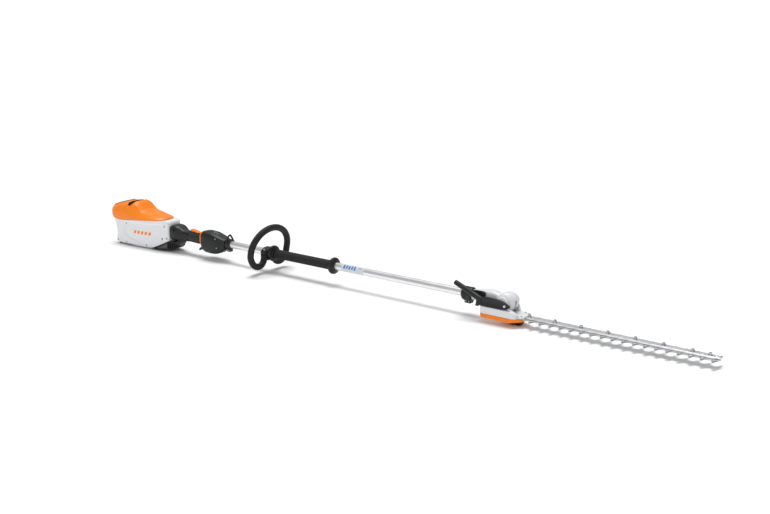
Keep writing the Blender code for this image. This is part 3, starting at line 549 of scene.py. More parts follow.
def leaning_plate(name, size, low, high, look, ahead=0.0, aside=0.0, count=7):
    """A rounded box on the pack's leaning line; heights are from the pack's outer face."""
    s, z = BATTERY_FACE
    outline = [(s + ahead + u, aside + v) for u, v in corner_box(*size, count)]
    return leaned(slab(name, outline, "z", z + low, z + high, look), s, z)


def bay_box(name, grow, low, high, look):
    return leaning_plate(name, [size + grow for size in PACK_SIZE], low, high, look)


def finger_notch(name):
    """The dip across the hood behind its hump, which lets a thumb reach the latch."""
    dip = [(88, 108), (100.5, 85), (105, 83), (113, 83), (116.5, 85), (127, 104), (127, 108)]
    return soften(slab(name, dip, "y", -60, 60, BLACK), 2.0, 3, 20)


def top_cover():
    hood = loft("top_cover", [hood_ring(s) for s in HOOD_STATIONS], ORANGE)
    soften(hood, 3.2, 4, 14)
    hollow = loft("hood_hollow", [hood_ring(s, 2.6) for s in HOOD_STATIONS if 3 <= s <= 240], ORANGE)
    cut(hood, hollow)
    carve(hood, [(8, 49), (60, 31), (200, 38), (240, 43), (240, 10), (8, 10)], "y", -28, 28)
    rim = bay_box("battery_rim", 4.6, -6, 2.0, ORANGE)
    soften(rim, 1.4, 3)
    join(hood, rim)
    cut(hood, bay_box("battery_mouth", 1.8, -40, 30, ORANGE))
    latch_pocket = [(80, 78), (92, 112), (127, 112), (126, 88), (118, 76)]
    carve(hood, latch_pocket, "y", -19, 19)
    cut(hood, finger_notch("finger_notch"))
    seam = [(166, 74.5), (173, 68.3), (173.7, 69.1), (166.7, 75.3)]
    carve(hood, seam, "y", -36, 36)
    soften(hood, 0.6, 2, 50)
    fit(hood, "frame", "orange_housing", "top_cover")
    # A black liner fills the latch pocket round the finger dip. Its dark is partly the black latch surround
    # and partly painted shade of the pocket's shadowed inside.
    tray = [(87.5, 101), (98.8, 83.2), (104, 81.2), (114, 81.2), (118, 83.2), (129.5, 105)]
    shade_liner = slab("pocket_shade_liner", tray, "y", -60, 60, BLACK)
    cut(shade_liner, finger_notch("shade_liner_notch"))
    notch(shade_liner, (70, 140), (-19.2, 19.2), (70, 120))
    trim = loft("shade_liner_trim", [hood_ring(s, 0.5) for s in HOOD_STATIONS if 62 <= s <= 176], BLACK)
    fit(combine(shade_liner, "INTERSECT", [trim]), "frame", "black_plastic")


top_cover()


# ---------------------------------------------------------------- battery pack
# A sealed pack with a dark body and a pale end face in a black frame. It slides into the bay from
# the back of the hood and shows its end face, a finger slot and four charge lights.
BATTERY_DARK = moulded("battery_case", (0.035, 0.036, 0.040), 0.42, relief=0.3, mottle=0.1)
BATTERY_PALE = moulded("battery_face", (0.56, 0.53, 0.47), 0.4, mottle=0.04, worn=0.1)
LED_GREEN = moulded("charge_light", (0.05, 0.35, 0.08), 0.2, relief=0.0, mottle=0.0, worn=0.0)


def battery():
    s, z = BATTERY_FACE
    case = bay_box("battery_pack", 0.0, -104, 4.6, BATTERY_DARK)
    soften(case, 1.6, 3)
    cut(case, leaning_plate("battery_dish", (18.5, 31.5, 7), 3.0, 8, BATTERY_DARK))
    for side in (-1, 1):
        for row in range(5):
            groove = slab("battery_groove", corner_box(0.9, 17.0, 0.8, 3), "z", z - 90, z - 8, BATTERY_DARK)
            groove.data.transform(Matrix.Translation(at(s - 16 + 8 * row, side * 37.2, 0) - at(0, 0, 0)))
            groove.data.transform(Matrix.Translation(Vector((0, -side * 17 * MM, 0))))
            cut(case, leaned(groove, s, z))
    fit(case, "battery", "pale_grey_plastic", "battery_pack")
    face = leaning_plate("battery_face", (17.6, 30.6, 6.4), 2.9, 5.2, BATTERY_PALE)
    soften(face, 0.8, 3)
    cut(face, leaning_plate("face_slot", (3.6, 15, 3.4), 4.0, 8, BATTERY_PALE, ahead=7))
    fit(face, "battery", "pale_grey_plastic")
    for light in range(4):
        row = -12 + 8 * light
        lens = leaning_plate("charge_light_%d" % light, (1.7, 1.7, 1.6), 5.0, 5.6, LED_GREEN, -9, row, 4)
        fit(lens, "battery", "pale_grey_plastic")


battery()


# ---------------------------------------------------------------- battery latch
# A black nylon rocker in the hood's pocket, ribbed for a thumb. It turns on a pin across the pocket
# and holds the pack down until it is pressed.
def latch():
    outline = [(64, 74), (65, 79), (88, 80.5), (93, 86.5), (106, 87.5), (117, 85), (121, 81), (118, 78),
        (104, 77)]
    rocker = slab("battery_latch", outline, "y", -17, 17, BLACK)
    soften(rocker, 1.2, 3, 20)
    for rib in range(4):
        bar = peg("latch_rib_%d" % rib, (95.5 + 5 * rib, -12, 86.9 + 0.4 * rib * (3 - rib) * 0.5),
            (95.5 + 5 * rib, 12, 86.9 + 0.2 * rib * (3 - rib)), 1.1, BLACK, 16)
        join(rocker, bar)
    return fit(rocker, "latch", "black_plastic", "battery_latch")


latch()


# ---------------------------------------------------------------- air intake
# A black duct under the housing's front: a fine steel filter mesh behind a three-sided frame, then
# upright fins in front of it.
MESH_STEEL = metal("filter_mesh", (0.36, 0.37, 0.38), 0.45, (20, 20, 20))


def duct_half(s):
    return level([(220, 45.5), (298, 34.5), (348, 24.5)], s)


def intake():
    upper = [(222, -61.6), (297, -27), (330, -23)]
    lower = [(222, -62.2), (262, -62.4), (306, -56.5), (317, -50), (330, -32)]
    rings = []
    for s in (222, 226, 240, 262, 280, 297, 306, 312, 317, 323, 328):
        top, bottom = level(upper, s), level(lower, s)
        wide = duct_half(s)
        half = [(wide - 1, top), (wide, top - 1), (wide, bottom + 2.2), (wide - 2.5, bottom)]
        rings.append([at(s, y, z) for y, z in both_sides(half)])
    duct = loft("intake_frame", rings, BLACK)
    carve(duct, [(239, -57.5), (292, -33.5), (290, -54), (262, -57.8)], "y", -60, 60)
    for fin in range(4):
        for side in (-1, 1):
            low, high = sorted((side * 14, side * 60))
            start = 295.5 + 7.6 * fin
            floor = level(lower, start) + 4.5
            carve(duct, [(start + 4.4, -28.6), (start + 9.2, -28), (start + 4.6, floor), (start, floor)],
                "y", low, high)
    soften(duct, 0.6, 2, 40)
    fit(duct, "frame", "black_plastic", "intake_frame")
    for side in (-1, 1):
        form = bmesh.new()
        columns, rows = 26, 10
        grid = []
        for i in range(columns + 1):
            s = 238 + 55 * i / columns
            top = level([(239, -57.2), (292, -33.2)], s)
            bottom = level([(239, -57.8), (262, -58), (292, -54)], s)
            grid.append([form.verts.new(at(s, side * (duct_half(s) - 3.0),
                bottom + (top - bottom) * j / rows)) for j in range(rows + 1)])
        for i in range(columns):
            for j in range(rows):
                form.faces.new((grid[i][j], grid[i + 1][j], grid[i + 1][j + 1], grid[i][j + 1]))
        screen = piece_of("filter_screen_%s" % ("left" if side > 0 else "right"), form, MESH_STEEL)
        wires = screen.modifiers.new("Wires", "WIREFRAME")
        wires.thickness = 0.5 * MM
        settle(screen)
        fit(screen, "frame", "dark_grey_plastic")


intake()


# ---------------------------------------------------------------- joint block and grip
# A black clamp block ties the shaft tube to the housing and runs into the control grip, whose two
# half-shells close round the tube. The grip has a soft, finely pitted skin.
RUBBER = moulded("soft_rubber", (0.008, 0.008, 0.009), 0.62, grain=1500, relief=0.5, mottle=0.15, worn=0.06)
GRIP_SKIN = moulded("soft_grip_skin", (0.013, 0.015, 0.016), 0.48, grain=1300, relief=0.55, mottle=0.12,
    worn=0.08)


def oval_ring(s, half, top, bottom, power, count=40):
    """A rounded-square section across the shaft."""
    ring = []
    middle, tall = (top + bottom) / 2, (top - bottom) / 2
    for k in range(count):
        turn = math.tau * k / count
        c, n = math.cos(turn), math.sin(turn)
        ring.append(at(s, half * math.copysign(abs(c) ** (2 / power), c),
            middle + tall * math.copysign(abs(n) ** (2 / power), n)))
    return ring


def body_loft(name, stations, power, look, steps=5):
    """A smooth skin through (s, half-width, top, bottom) stations."""
    places = []
    for a, b in zip(stations, stations[1:]):
        places += list(np.linspace(a[0], b[0], steps, endpoint=False))
    places.append(stations[-1][0])
    columns = [[(row[0], row[i]) for row in stations] for i in (1, 2, 3)]
    rings = [oval_ring(s, *[through(column, s) for column in columns], power) for s in places]
    return loft(name, rings, look)


def joint_block():
    stations = [(299, 26, 28.5, -20.5), (301, 28.5, 31.5, -21.6), (308, 30, 34.2, -22),
        (324, 30.2, 34.4, -22), (336, 27.8, 31, -21.5), (346, 24.2, 25.6, -20.8), (355, 21, 21, -20),
        (366, 19, 18.6, -19.3), (379, 18.3, 17.5, -18.8)]
    body = body_loft("joint_block", stations, 3.4, BLACK)
    bore(body, (290, 0, 0), (390, 0, 0), 13.0, 48)
    for side in (-1, 1):
        bore(body, (324, side * 22, 18.5), (324, side * 40, 18.5), 4.0, 28)
        cross_screw("joint_screw_%s" % ("left" if side > 0 else "right"), 324, side * 22.6, 18.5,
            (0, side, 0), "frame", 3.2)
    notch(body, (295, 385), (-0.25, 0.25), (17, 60))
    soften(body, 0.5, 2, 45)
    fit(body, "frame", "black_plastic", "joint_block")


joint_block()


def grip_half(name, side):
    stations = [(379.3, 17.6, 17.2, -18), (381, 18.2, 17.8, -18.8), (400, 18.6, 18, -19.4),
        (425, 19.4, 18.2, -20.2), (442, 18.8, 18.4, -19.8), (450, 18.2, 18, -19.2),
        (451.3, 17.6, 17.4, -18.6)]
    half = body_loft(name, stations, 2.3, GRIP_SKIN)
    bore(half, (370, 0, 0), (470, 0, 0), 13.0, 48)
    carve(half, [(383, -8), (441, -8), (441, 8), (383, 8)], "z", 14.3, 30)
    inner, outer = sorted((side * 8.1, side * 12.0))
    ear_outline = [(427, 13), (441, 13), (438.4, 20.4), (436.4, 21.8), (431.6, 21.8), (429.6, 20.4)]
    join(half, slab(name + "_pin_ear", ear_outline, "y", inner, outer, GRIP_SKIN))
    keep_side(half, side, 0.12)
    soften(half, 0.4, 2, 50)
    return fit(half, "frame", "black_plastic", name)


grip_half("handle_left", 1)
grip_half("handle_right", -1)


# ---------------------------------------------------------------- lockout lever, trigger and ring
# The orange lever under the palm frees the trigger. It pivots at its front on a steel pin; the black
# trigger pivots in the control block. An orange ring closes the grip's front end.
def lockout():
    top = [(385, 26.5), (390, 28.8), (400, 28), (425, 23.2), (440, 20.6)]
    under = [(385, 22), (392, 20.8), (412, 19.5), (424, 17.8), (433, 15.6), (440, 16.2)]
    rings = []
    for s in np.linspace(385, 440.5, 24):
        wide = 7.4 * math.sqrt(max(1 - ((s - 412.7) / 29.5) ** 6, 0.15))
        rings.append(oval_ring(s, wide, through(top, s), through(under, s), 4.5, 28))
    lever = loft("lockout_lever", rings, ORANGE)
    for groove in range(4):
        s = 396 + 6 * groove
        bore(lever, (s, -5.2, through(top, s) + 0.35), (s, 5.2, through(top, s) + 0.35), 0.95, 16)
    bore(lever, (434, -12, 18.5), (434, 12, 18.5), 1.6, 20)
    soften(lever, 0.4, 2, 40)
    fit(lever, "lockout_body", "orange_housing", "lockout_lever")


lockout()


def trigger():
    outline = [(492, -16), (492.5, -27), (478, -29.5), (462, -31.4), (449, -34), (440, -38.5), (434, -42.2),
        (428.5, -42.6), (427, -40.6), (429.6, -36.6), (434, -31.8), (440, -28), (449, -25), (460, -22),
        (472, -18.8)]
    blade = slab("trigger", outline, "y", -7.5, 7.5, BLACK)
    soften(blade, 2.2, 4, 20)
    bore(blade, (486, -12, -20), (486, 12, -20), 2.4, 24)
    fit(blade, "trigger_body", "black_plastic", "trigger")


trigger()


def trim_ring():
    band = loft("trim_ring", [oval_ring(s, 25.4 + g, 31.6 + g, -20.6 - g, 2.7, 56)
        for s, g in ((449.6, -3.6), (450.4, -1.2), (451.4, -0.2), (452.2, -0.2), (452.6, -1.2),
        (453.4, -1.2), (453.8, 0), (455.4, 0.6), (456.3, -0.2))], ORANGE)
    bore(band, (440, 0, 0), (470, 0, 0), 18.9, 48)
    notch(band, (440, 470), (-9, 9), (-40, -12))
    soften(band, 0.4, 2, 40)
    fit(band, "frame", "orange_housing", "trim_ring")


trim_ring()


# ---------------------------------------------------------------- control block
# Two black shells round the tube, holding the switch and electronics. On top are a key, a window
# with charge lights and a low rib; sunk screws close the flanks.
CONTROL_STATIONS = [(456.8, 24, 29, -17.5), (459, 27.8, 32.2, -26.5), (463, 30, 33.8, -34),
    (470, 31.6, 34.8, -39.4), (480, 32.2, 35, -42), (505, 32.4, 33.4, -42.8), (522, 31.8, 29.4, -41.4),
    (538, 29.8, 24.6, -36.4), (551, 26, 20.4, -29.4), (560, 22, 17.8, -23.6), (566, 18.4, 15.8, -19.4)]
CONTROL_SCREWS = [(531, 16, 26.5), (536.8, -15.1, 27.5), (492.5, -34, 24.0)]


def control_half(name, side):
    half = body_loft(name, CONTROL_STATIONS, 3.6, BLACK, 4)
    bore(half, (440, 0, 0), (580, 0, 0), 13.0, 48)
    carve(half, [(440, -15), (524, -15), (524, -36), (440, -64)], "y", -9.5, 9.5)
    notch(half, (480, 492), (-6.5, 6.5), (24, 50))
    carve(half, [(496, 27.5), (530, 19.5), (530, 50), (496, 50)], "y", -13, 13)
    bore(half, (486, -14, -20), (486, 14, -20), 2.3, 20)
    for count, (s, z, depth) in enumerate(CONTROL_SCREWS):
        bore(half, (s, side * depth, z), (s, side * 50, z), 3.5, 28)
        cross_screw("%s_screw_%d" % (name, count), s, side * (depth + 0.4), z, (0, side, 0), "frame", 2.7)
    keep_side(half, side, 0.12)
    soften(half, 0.6, 2, 40)
    return fit(half, "frame", "black_plastic", name)


control_half("control_left", 1)
control_half("control_right", -1)
WINDOW = moulded("smoked_window", (0.012, 0.014, 0.018), 0.12, relief=0.0, mottle=0.0, worn=0.0, coat=0.6)


def controls():
    key_outline = [(486 + u, v) for u, v in corner_box(5.0, 5.5, 2.2)]
    key = slab("mode_button", key_outline, "z", 27, 36.2, DARK_GREY)
    soften(key, 1.0, 3)
    dish = [(0, 0), (3.4, 0.9), (3.4, 2), (0, 2)]
    cut(key, turned("key_dish", dish, (486, 0, 35.5), (0, 0, 1), DARK_GREY, 28))
    fit(key, "button_body", "dark_grey_plastic", "mode_button")
    pane = slab("display_panel", [(497, 28.6), (529, 21), (529, 26.9), (497, 34.2)], "y", -12, 12, WINDOW)
    soften(pane, 0.8, 3)
    fit(pane, "frame", "display_window", "display_panel")
    for light in range(3):
        s = 505 + 8 * light
        z = level([(497, 34.2), (529, 26.9)], s)
        dome = [(0, -1), (1.5, -1), (1.5, 0.25), (1.0, 0.5), (0, 0.55)]
        lens = turned("state_light_%d" % light, dome, (s, 0, z), (0.22, 0, 0.97), LED_GREEN, 20)
        fit(lens, "frame", "display_window")


controls()


# ---------------------------------------------------------------- shaft tube, drive shaft and label
# A drawn aluminium tube holds the steel drive shaft in bronze bushes. A thin printed film is
# wrapped round it ahead of the grip, with plain blue bars on silver.
ALUMINIUM = metal("drawn_aluminium", (0.88, 0.885, 0.90), 0.34, (1, 50, 50), 0.05)
STEEL = metal("ground_steel", (0.55, 0.56, 0.58), 0.24, (1, 40, 40), 0.12)
BRONZE = metal("bearing_bronze", (0.55, 0.33, 0.12), 0.35, (8, 8, 8), 0.08)
COPPER = metal("copper_winding", (0.72, 0.28, 0.11), 0.3, (60, 1, 1), 0.3)
BOARD = moulded("circuit_board", (0.02, 0.14, 0.05), 0.28, relief=0.1, mottle=0.2, worn=0.1, coat=0.4)
FOAM = moulded("foam_sleeve", (0.014, 0.014, 0.015), 0.78, grain=900, relief=0.7, mottle=0.2, worn=0.1)
FILM_SILVER = moulded("film_silver", (0.62, 0.64, 0.67), 0.3, mottle=0.03, worn=0.05)
FILM_BLUE = moulded("film_blue", (0.05, 0.20, 0.52), 0.3, mottle=0.03, worn=0.05)
CARRIED = {
    ALUMINIUM: ["shaft_tube", "motor_mount"],
    STEEL: ["drive_shaft", "motor_rotor", "trigger_pin", "lockout_pin", "release_pin", "bevel_pinion",
            "bevel_gear", "head_pinion", "crank_gear"],
    BRONZE: ["shaft_bush_1", "shaft_bush_2"],
    COPPER: ["motor_stator"],
    BOARD: ["controller_board"],
    DARK_GREY: ["battery_tray", "latch_bridge", "cooling_fan", "micro_switch", "intake_mesh"],
    BLACK: ["contact_block"],
    RUBBER: ["rear_foot_left", "rear_foot_right"],
}


def finish_carried():
    """Gives every node that is shown as it is its own finish and smooth shading."""
    for look, names in CARRIED.items():
        for name in names:
            node = nodes[name]
            node.data.materials.clear()
            node.data.materials.append(look)
            polish(node, 30)


FILM_BORE = 12.72


def film(name, start, end, first, last, look, lift=0.12):
    """A thin film bent round the tube, between two angles from the top towards the right."""
    outline = []
    for radius, begin, stop in ((FILM_BORE, first, last), (FILM_BORE + lift, last, first)):
        turns = np.linspace(begin, stop, 40)
        for a in np.radians(turns):
            outline.append((-radius * math.sin(a), radius * math.cos(a)))
    piece = slab(name, outline, "s", start, end, look)
    return fit(piece, "frame", "aluminium")


finish_carried()
film("label_film", 1096, 1188, -60, 150, FILM_SILVER)
for bar in range(5):
    film("label_bar_%d" % bar, 1104 + 11 * bar, 1111 + 11 * bar, 20, 82 - 6 * (bar % 2), FILM_BLUE, 0.2)
film("label_line", 1164, 1183, 30, 36, FILM_BLUE, 0.2)
film("label_line_low", 1164, 1180, 44, 50, FILM_BLUE, 0.2)


# ---------------------------------------------------------------- carrying eyelet
# A split black clamp round the tube with a thick bail on top for the harness hook. A steel screw
# across the two lugs below pulls it tight.
def sweep(name, route, radius, look, steps=24, squash=1.0):
    """A round bar along a smooth route; squash flattens it along s."""
    places = [at(*point) for point in route]
    fine = []
    for k in range(len(places) - 1):
        before, after = places[max(k - 1, 0)], places[min(k + 2, len(places) - 1)]
        for part in range(5):
            t = part / 5
            first, second = (places[k + 1] - before) / 2, (after - places[k]) / 2
            fine.append(places[k] * (2 * t**3 - 3 * t**2 + 1) + places[k + 1] * (3 * t**2 - 2 * t**3)
                + first * (t**3 - 2 * t**2 + t) + second * (t**3 - t**2))
    fine.append(places[-1])
    rings = []
    for k, place in enumerate(fine):
        ahead = (fine[min(k + 1, len(fine) - 1)] - fine[max(k - 1, 0)]).normalized()
        side = Vector((1, 0, 0))
        side = (side - ahead * side.dot(ahead)).normalized()
        out = ahead.cross(side)
        turns = np.linspace(0, math.tau, steps, endpoint=False)
        rings.append([place + (side * math.cos(a) * squash + out * math.sin(a)) * radius * MM
            for a in turns])
    return loft(name, rings, look)


EYELET_S, CLAMP_BORE = 577, 12.95


def eyelet():
    ring_profile = [(13, -9), (13, 9), (17, 9), (18.4, 8), (19, 5.5), (19, -5.5), (18.4, -8), (17, -9)]
    clamp = turned("carrying_eyelet", ring_profile, (EYELET_S, 0, 0), (1, 0, 0), BLACK, 56)
    rising = [(-16, 6), (-15.6, 12), (-12.6, 19), (-8, 26.5), (-3.5, 31.6), (0, 32.4)]
    falling = [(-y, z) for y, z in reversed(rising[:-1])]
    bail = sweep("eyelet_bail", [(EYELET_S, y, z) for y, z in rising + falling], 3.2, BLACK)
    lugs = block("eyelet_lugs", (570, 584), (-8, 8), (-26, -15), BLACK)
    soften(lugs, 1.6, 3)
    join(clamp, bail, lugs)
    bore(clamp, (550, 0, 0), (600, 0, 0), CLAMP_BORE, 56)
    notch(clamp, (560, 595), (-1.1, 1.1), (-40, 0))
    bore(clamp, (EYELET_S, -20, -21), (EYELET_S, -6.2, -21), 2.9, 24)
    soften(clamp, 0.35, 2, 50)
    fit(clamp, "frame", "black_plastic", "carrying_eyelet")
    cross_screw("eyelet_screw", EYELET_S, -6.4, -21, (0, -1, 0), "frame", 2.6)


eyelet()


# ---------------------------------------------------------------- loop handle
# A bent bar in soft black rubber over a steel core, moulded to a saddle under the tube. A cap over
# the tube and two steel screws clamp it, so that it can slide along the shaft when loosened.
LOOP_S, SCREW_ASIDE, SADDLE_HALF = 762.0, 20.5, 13


def arc(cy, cz, radius, first, last, steps, squash=1.0):
    """Points on an arc across the shaft; squash scales it upwards."""
    turns = np.radians(np.linspace(first, last, steps + 1))
    return [(cy + radius * math.cos(a), cz + radius * squash * math.sin(a)) for a in turns]


def loop_handle():
    half = [(19, -10), (23.5, -18), (28, -28), (36, -36.4), (48, -40.4), (62, -39), (75, -31), (84.5, -18),
        (89.6, -3)] + arc(0, 12, 90.6, 0, 90, 14, 76.3 / 90.6)
    full = [(-y, z) for y, z in half] + [(y, z) for y, z in reversed(half[:-1])]
    bar = sweep("loop_handle", [(LOOP_S + max(z, 0) * 0.19, y, z) for y, z in full], 11.2, RUBBER, 32)
    belly = both_sides([(-28, -2), (-28, -15), (-26, -19), (-20, -23), (-14, -24)])
    saddle = slab("loop_saddle", belly, "s", LOOP_S - SADDLE_HALF, LOOP_S + SADDLE_HALF, BLACK)
    soften(saddle, 1.8, 3, 20)
    join(bar, saddle)
    bore(bar, (720, 0, 0), (800, 0, 0), CLAMP_BORE, 64)
    notch(bar, (730, 800), (-31, 31), (-2, 14))
    for side in (-1, 1):
        bore(bar, (LOOP_S, side * SCREW_ASIDE, -18), (LOOP_S, side * SCREW_ASIDE, 5), 2.5, 20)
    fit(bar, "loop_body", "black_rubber", "loop_handle")
    crown = both_sides([(-28, -1.6), (-28, 5), (-24, 10.5), (-17, 15), (-11, 18), (-6, 19)])
    cap = slab("loop_clamp_cap", crown, "s", LOOP_S - SADDLE_HALF, LOOP_S + SADDLE_HALF, BLACK)
    soften(cap, 1.8, 3, 24)
    bore(cap, (720, 0, 0), (800, 0, 0), CLAMP_BORE, 64)
    for side in (-1, 1):
        bore(cap, (LOOP_S, side * SCREW_ASIDE, 11.9), (LOOP_S, side * SCREW_ASIDE, 30), 4.6, 32)
        bore(cap, (LOOP_S, side * SCREW_ASIDE, -10), (LOOP_S, side * SCREW_ASIDE, 20), 2.5, 20)
        name = "loop_screw_left" if side > 0 else "loop_screw_right"
        screw = turned(name, [(0, -14), (2.2, -14), (2.2, 12.1), (4.0, 12.1), (4.2, 12.5), (4.2, 15.0),
            (3.7, 15.6), (0, 15.6)], (LOOP_S, side * SCREW_ASIDE, 0), (0, 0, 1), SCREW_STEEL, 32)
        carve(screw, hexagon(LOOP_S, side * SCREW_ASIDE, 2.3), "z", 13.4, 17)
        fit(screw, "loop_body", "steel", name)
    fit(cap, "loop_body", "black_plastic", "loop_clamp_cap")


loop_handle()


# ---------------------------------------------------------------- foam sleeve and its collars
# A closed-cell foam sleeve slid over the tube as the front grip, held between two flared black
# collars. The foam shows faint rings and a fine open grain.
FOAM_RADIUS, FOAM_RINGS = 15.75, 121


def grip():
    rear_profile = [(13, 0), (13, 19), (19.4, 19), (20, 18.4), (20, 13), (20.6, 12.3), (25, 11.4),
        (26.6, 10.2), (27.5, 7), (27.1, 3.5), (26.2, 1), (24.5, 0)]
    collar = turned("rear_collar", rear_profile, (779.5, 0, 0), (1, 0, 0), BLACK, 72)
    fit(collar, "frame", "black_plastic", "rear_collar")
    profile = [(13, 0), (13, 250), (14.8, 250), (15.6, 249.2)]
    for row in range(FOAM_RINGS):
        place = 248 - row * 2.05
        flare = 0.25 * abs(place / 125 - 1) ** 2
        profile.append((FOAM_RADIUS + flare + (0.10 if row % 2 else -0.12), place))
    profile += [(15.6, 0.8), (14.8, 0)]
    sleeve = turned("grip_sleeve", profile, (799, 0, 0), (1, 0, 0), FOAM, 64)
    fit(sleeve, "frame", "grip_foam", "grip_sleeve")
    front_profile = [(13, 0), (13, 16), (17.4, 16), (18.4, 15.2), (22, 13.2), (26, 11), (27.6, 8.6),
        (28, 6), (27.7, 3), (27, 1), (24.5, 0)]
    collar = turned("front_collar", front_profile, (1049.5, 0, 0), (1, 0, 0), BLACK, 72)
    fit(collar, "frame", "black_plastic", "front_collar")


grip()


# ---------------------------------------------------------------- head clamp and gear housing
# A black clamp ties the tube to a light grey die-cast neck, which widens into the domed drum of
# the tilting joint. A groove round the drum shows where its halves meet, and screws hold the neck.
CAST_GREY = moulded("painted_casting", (0.70, 0.71, 0.73), 0.36, grain=1500, relief=0.2, mottle=0.03,
    worn=0.2, coat=0.1)
PIVOT_S = 1735.0


CLAMP_SCREWS = (1589, 1600)


def neck_clamp():
    profile = [(13, 0), (13, 37), (18.6, 37), (19.8, 36), (22, 32.6), (22, 22), (21, 20.5), (21, 17.5),
        (22, 16), (22, 5), (19.8, 1), (18.6, 0)]
    clamp = turned("head_clamp", profile, (1576, 0, 0), (1, 0, 0), BLACK, 72)
    lug = block("clamp_lug", (1583, 1606), (-9, 9), (-29, -15), BLACK)
    soften(lug, 1.8, 3)
    join(clamp, lug)
    bore(clamp, (1560, 0, 0), (1630, 0, 0), CLAMP_BORE, 64)
    notch(clamp, (1570, 1620), (-1.2, 1.2), (-40, 0))
    for s in CLAMP_SCREWS:
        bore(clamp, (s, -20, -22.5), (s, -7.2, -22.5), 3.0, 24)
    fit(clamp, "frame", "black_plastic", "head_clamp")
    for count, s in enumerate(CLAMP_SCREWS):
        cross_screw("clamp_screw_%d" % count, s, -7.4, -22.5, (0, -1, 0), "frame", 2.7)


neck_clamp()


def gear_housing():
    stations = [(1613.6, 15.5, 16, -12.6), (1615, 16.8, 17.4, -13.4), (1625, 17.4, 18.4, -13.5),
        (1640, 17.8, 20, -13.5), (1664, 18, 25, -13.5), (1690, 18, 26, -13.5), (1712, 17, 20, -13.2)]
    neck = body_loft("gear_housing", stations, 3.6, CAST_GREY)
    half_drum = [(0, -25), (15, -25), (20.5, -24), (25, -21.4), (28.2, -17.2), (29.6, -12), (30, -6),
        (30, -1.2), (29.4, -0.8)]
    drum_profile = half_drum + [(radius, -place) for radius, place in reversed(half_drum)]
    drum = turned("drum", drum_profile, (PIVOT_S, 0, 0), (0, 1, 0), CAST_GREY, 96)
    join(neck, drum)
    bore(neck, (PIVOT_S, -19.6, 0), (PIVOT_S, 19.6, 0), 23.6, 64)
    bore(neck, (1595, 0, 0), (1720, 0, 0), 11, 40)
    bore(neck, (PIVOT_S, -40, 0), (PIVOT_S, 40, 0), 8.3, 40)
    way = [(PIVOT_S + 40 * math.cos(a), 40 * math.sin(a)) for a in np.radians(np.linspace(-150, 14, 22))]
    carve(neck, [(PIVOT_S, 0)] + way, "y", -4.4, 4.4)
    soften(neck, 1.0, 3, 38)
    fit(neck, "frame", "light_grey_housing", "gear_housing")
    cross_screw("neck_screw_near", 1655, -18.1, 2, (0, -1, 0), "frame", 2.6)
    cross_screw("neck_screw_far", 1655, 18.1, 2, (0, 1, 0), "frame", 2.6)
    cross_screw("neck_screw_far_rear", 1628, 17.6, 2, (0, 1, 0), "frame", 2.6)


gear_housing()


# ---------------------------------------------------------------- cutter housing and bottom cover
# The tilting half: light grey casting with two round cheeks that clasp the drum on a steel pivot,
# closed below by an orange cover with a black skid on the underside.
CREST, SPLIT_Z, FLOOR_Z = -31.6, -38.0, -51.0
NEAR_LOBE = arc(1672, -36.5, 9.7, 270, 90, 10) + [(1745, -26.8), (1792, -26.8), (1788, -40), (1776, -46.2)]


CREST_SCREWS = [(1797, -20), (1797, 20), (1782, 27), (1745, 28)]
COVER_SCREWS = [(1672, -36.5), (1755, -34), (1740, 24), (1786, -16), (1786, 16)]


def cutter_housing():
    lobe = slab("cutter_housing", NEAR_LOBE, "z", SPLIT_Z, -15.5, CAST_GREY)
    carve(lobe, [(1640, -14), (1655, -14), (1662, -15.4), (1768, -15.4), (1784, -22), (1801, -33),
        (1840, -33), (1840, 20), (1640, 20)], "y", -60, 10)
    soften(lobe, 2.8, 4, 24)
    centre = slab("centre_body", [(1726.5, -30), (1790, -30), (1801, -26), (1806, -20), (1806, 20),
        (1801, 26), (1790, 30), (1776, 34), (1726.5, 34)], "z", SPLIT_Z, CREST, CAST_GREY)
    soften(centre, 1.8, 3)
    join(lobe, centre)
    for low, high, reach in ((-34, -26.3, 26), (26.3, 34, 6.5)):
        round_top = [(PIVOT_S + 21 * math.cos(a), 21 * math.sin(a))
            for a in np.radians(np.linspace(-20, 200, 36))]
        cheek = slab("cheek", round_top + [(PIVOT_S - reach, -37), (PIVOT_S + 30, -37)], "y", low, high,
            CAST_GREY)
        soften(cheek, 1.6, 3, 24)
        join(lobe, cheek)
    for side in (-1, 1):
        low, high = sorted((side * 20, side * 50))
        bore(lobe, (PIVOT_S, low, 0), (PIVOT_S, high, 0), 8.3, 40)
    notch(lobe, (1728.2, 1793), (-25, 25), (-45, -33.6))
    bore(lobe, (PIVOT_S, 0, -40), (PIVOT_S, 0, -20), 6.2)
    notch(lobe, (1780, 1820), (-13, 13), (-45, -33))
    for s, y in CREST_SCREWS:
        bore(lobe, (s, y, -32.4), (s, y, -20), 3.4, 28)
    soften(lobe, 0.5, 2, 45)
    fit(lobe, "head", "light_grey_housing", "cutter_housing")
    for count, (s, y) in enumerate(CREST_SCREWS):
        cross_screw("crest_screw_%d" % count, s, y, -32.2, (0, 0, 1), "head", 2.8)
    half_pin = [(0, -34.2), (6.6, -34.2), (7.8, -33.2), (8, -32)]
    pin_profile = half_pin + [(radius, -place) for radius, place in reversed(half_pin)]
    pin = turned("pivot_pin", pin_profile, (PIVOT_S, 0, 0), (0, 1, 0), SCREW_STEEL, 48)
    for side in (-1, 1):
        carve(pin, hexagon(PIVOT_S, 0, 3.6), "y", side * 34 - 3, side * 34 + 3)
    fit(pin, "head", "steel", "pivot_pin")


cutter_housing()


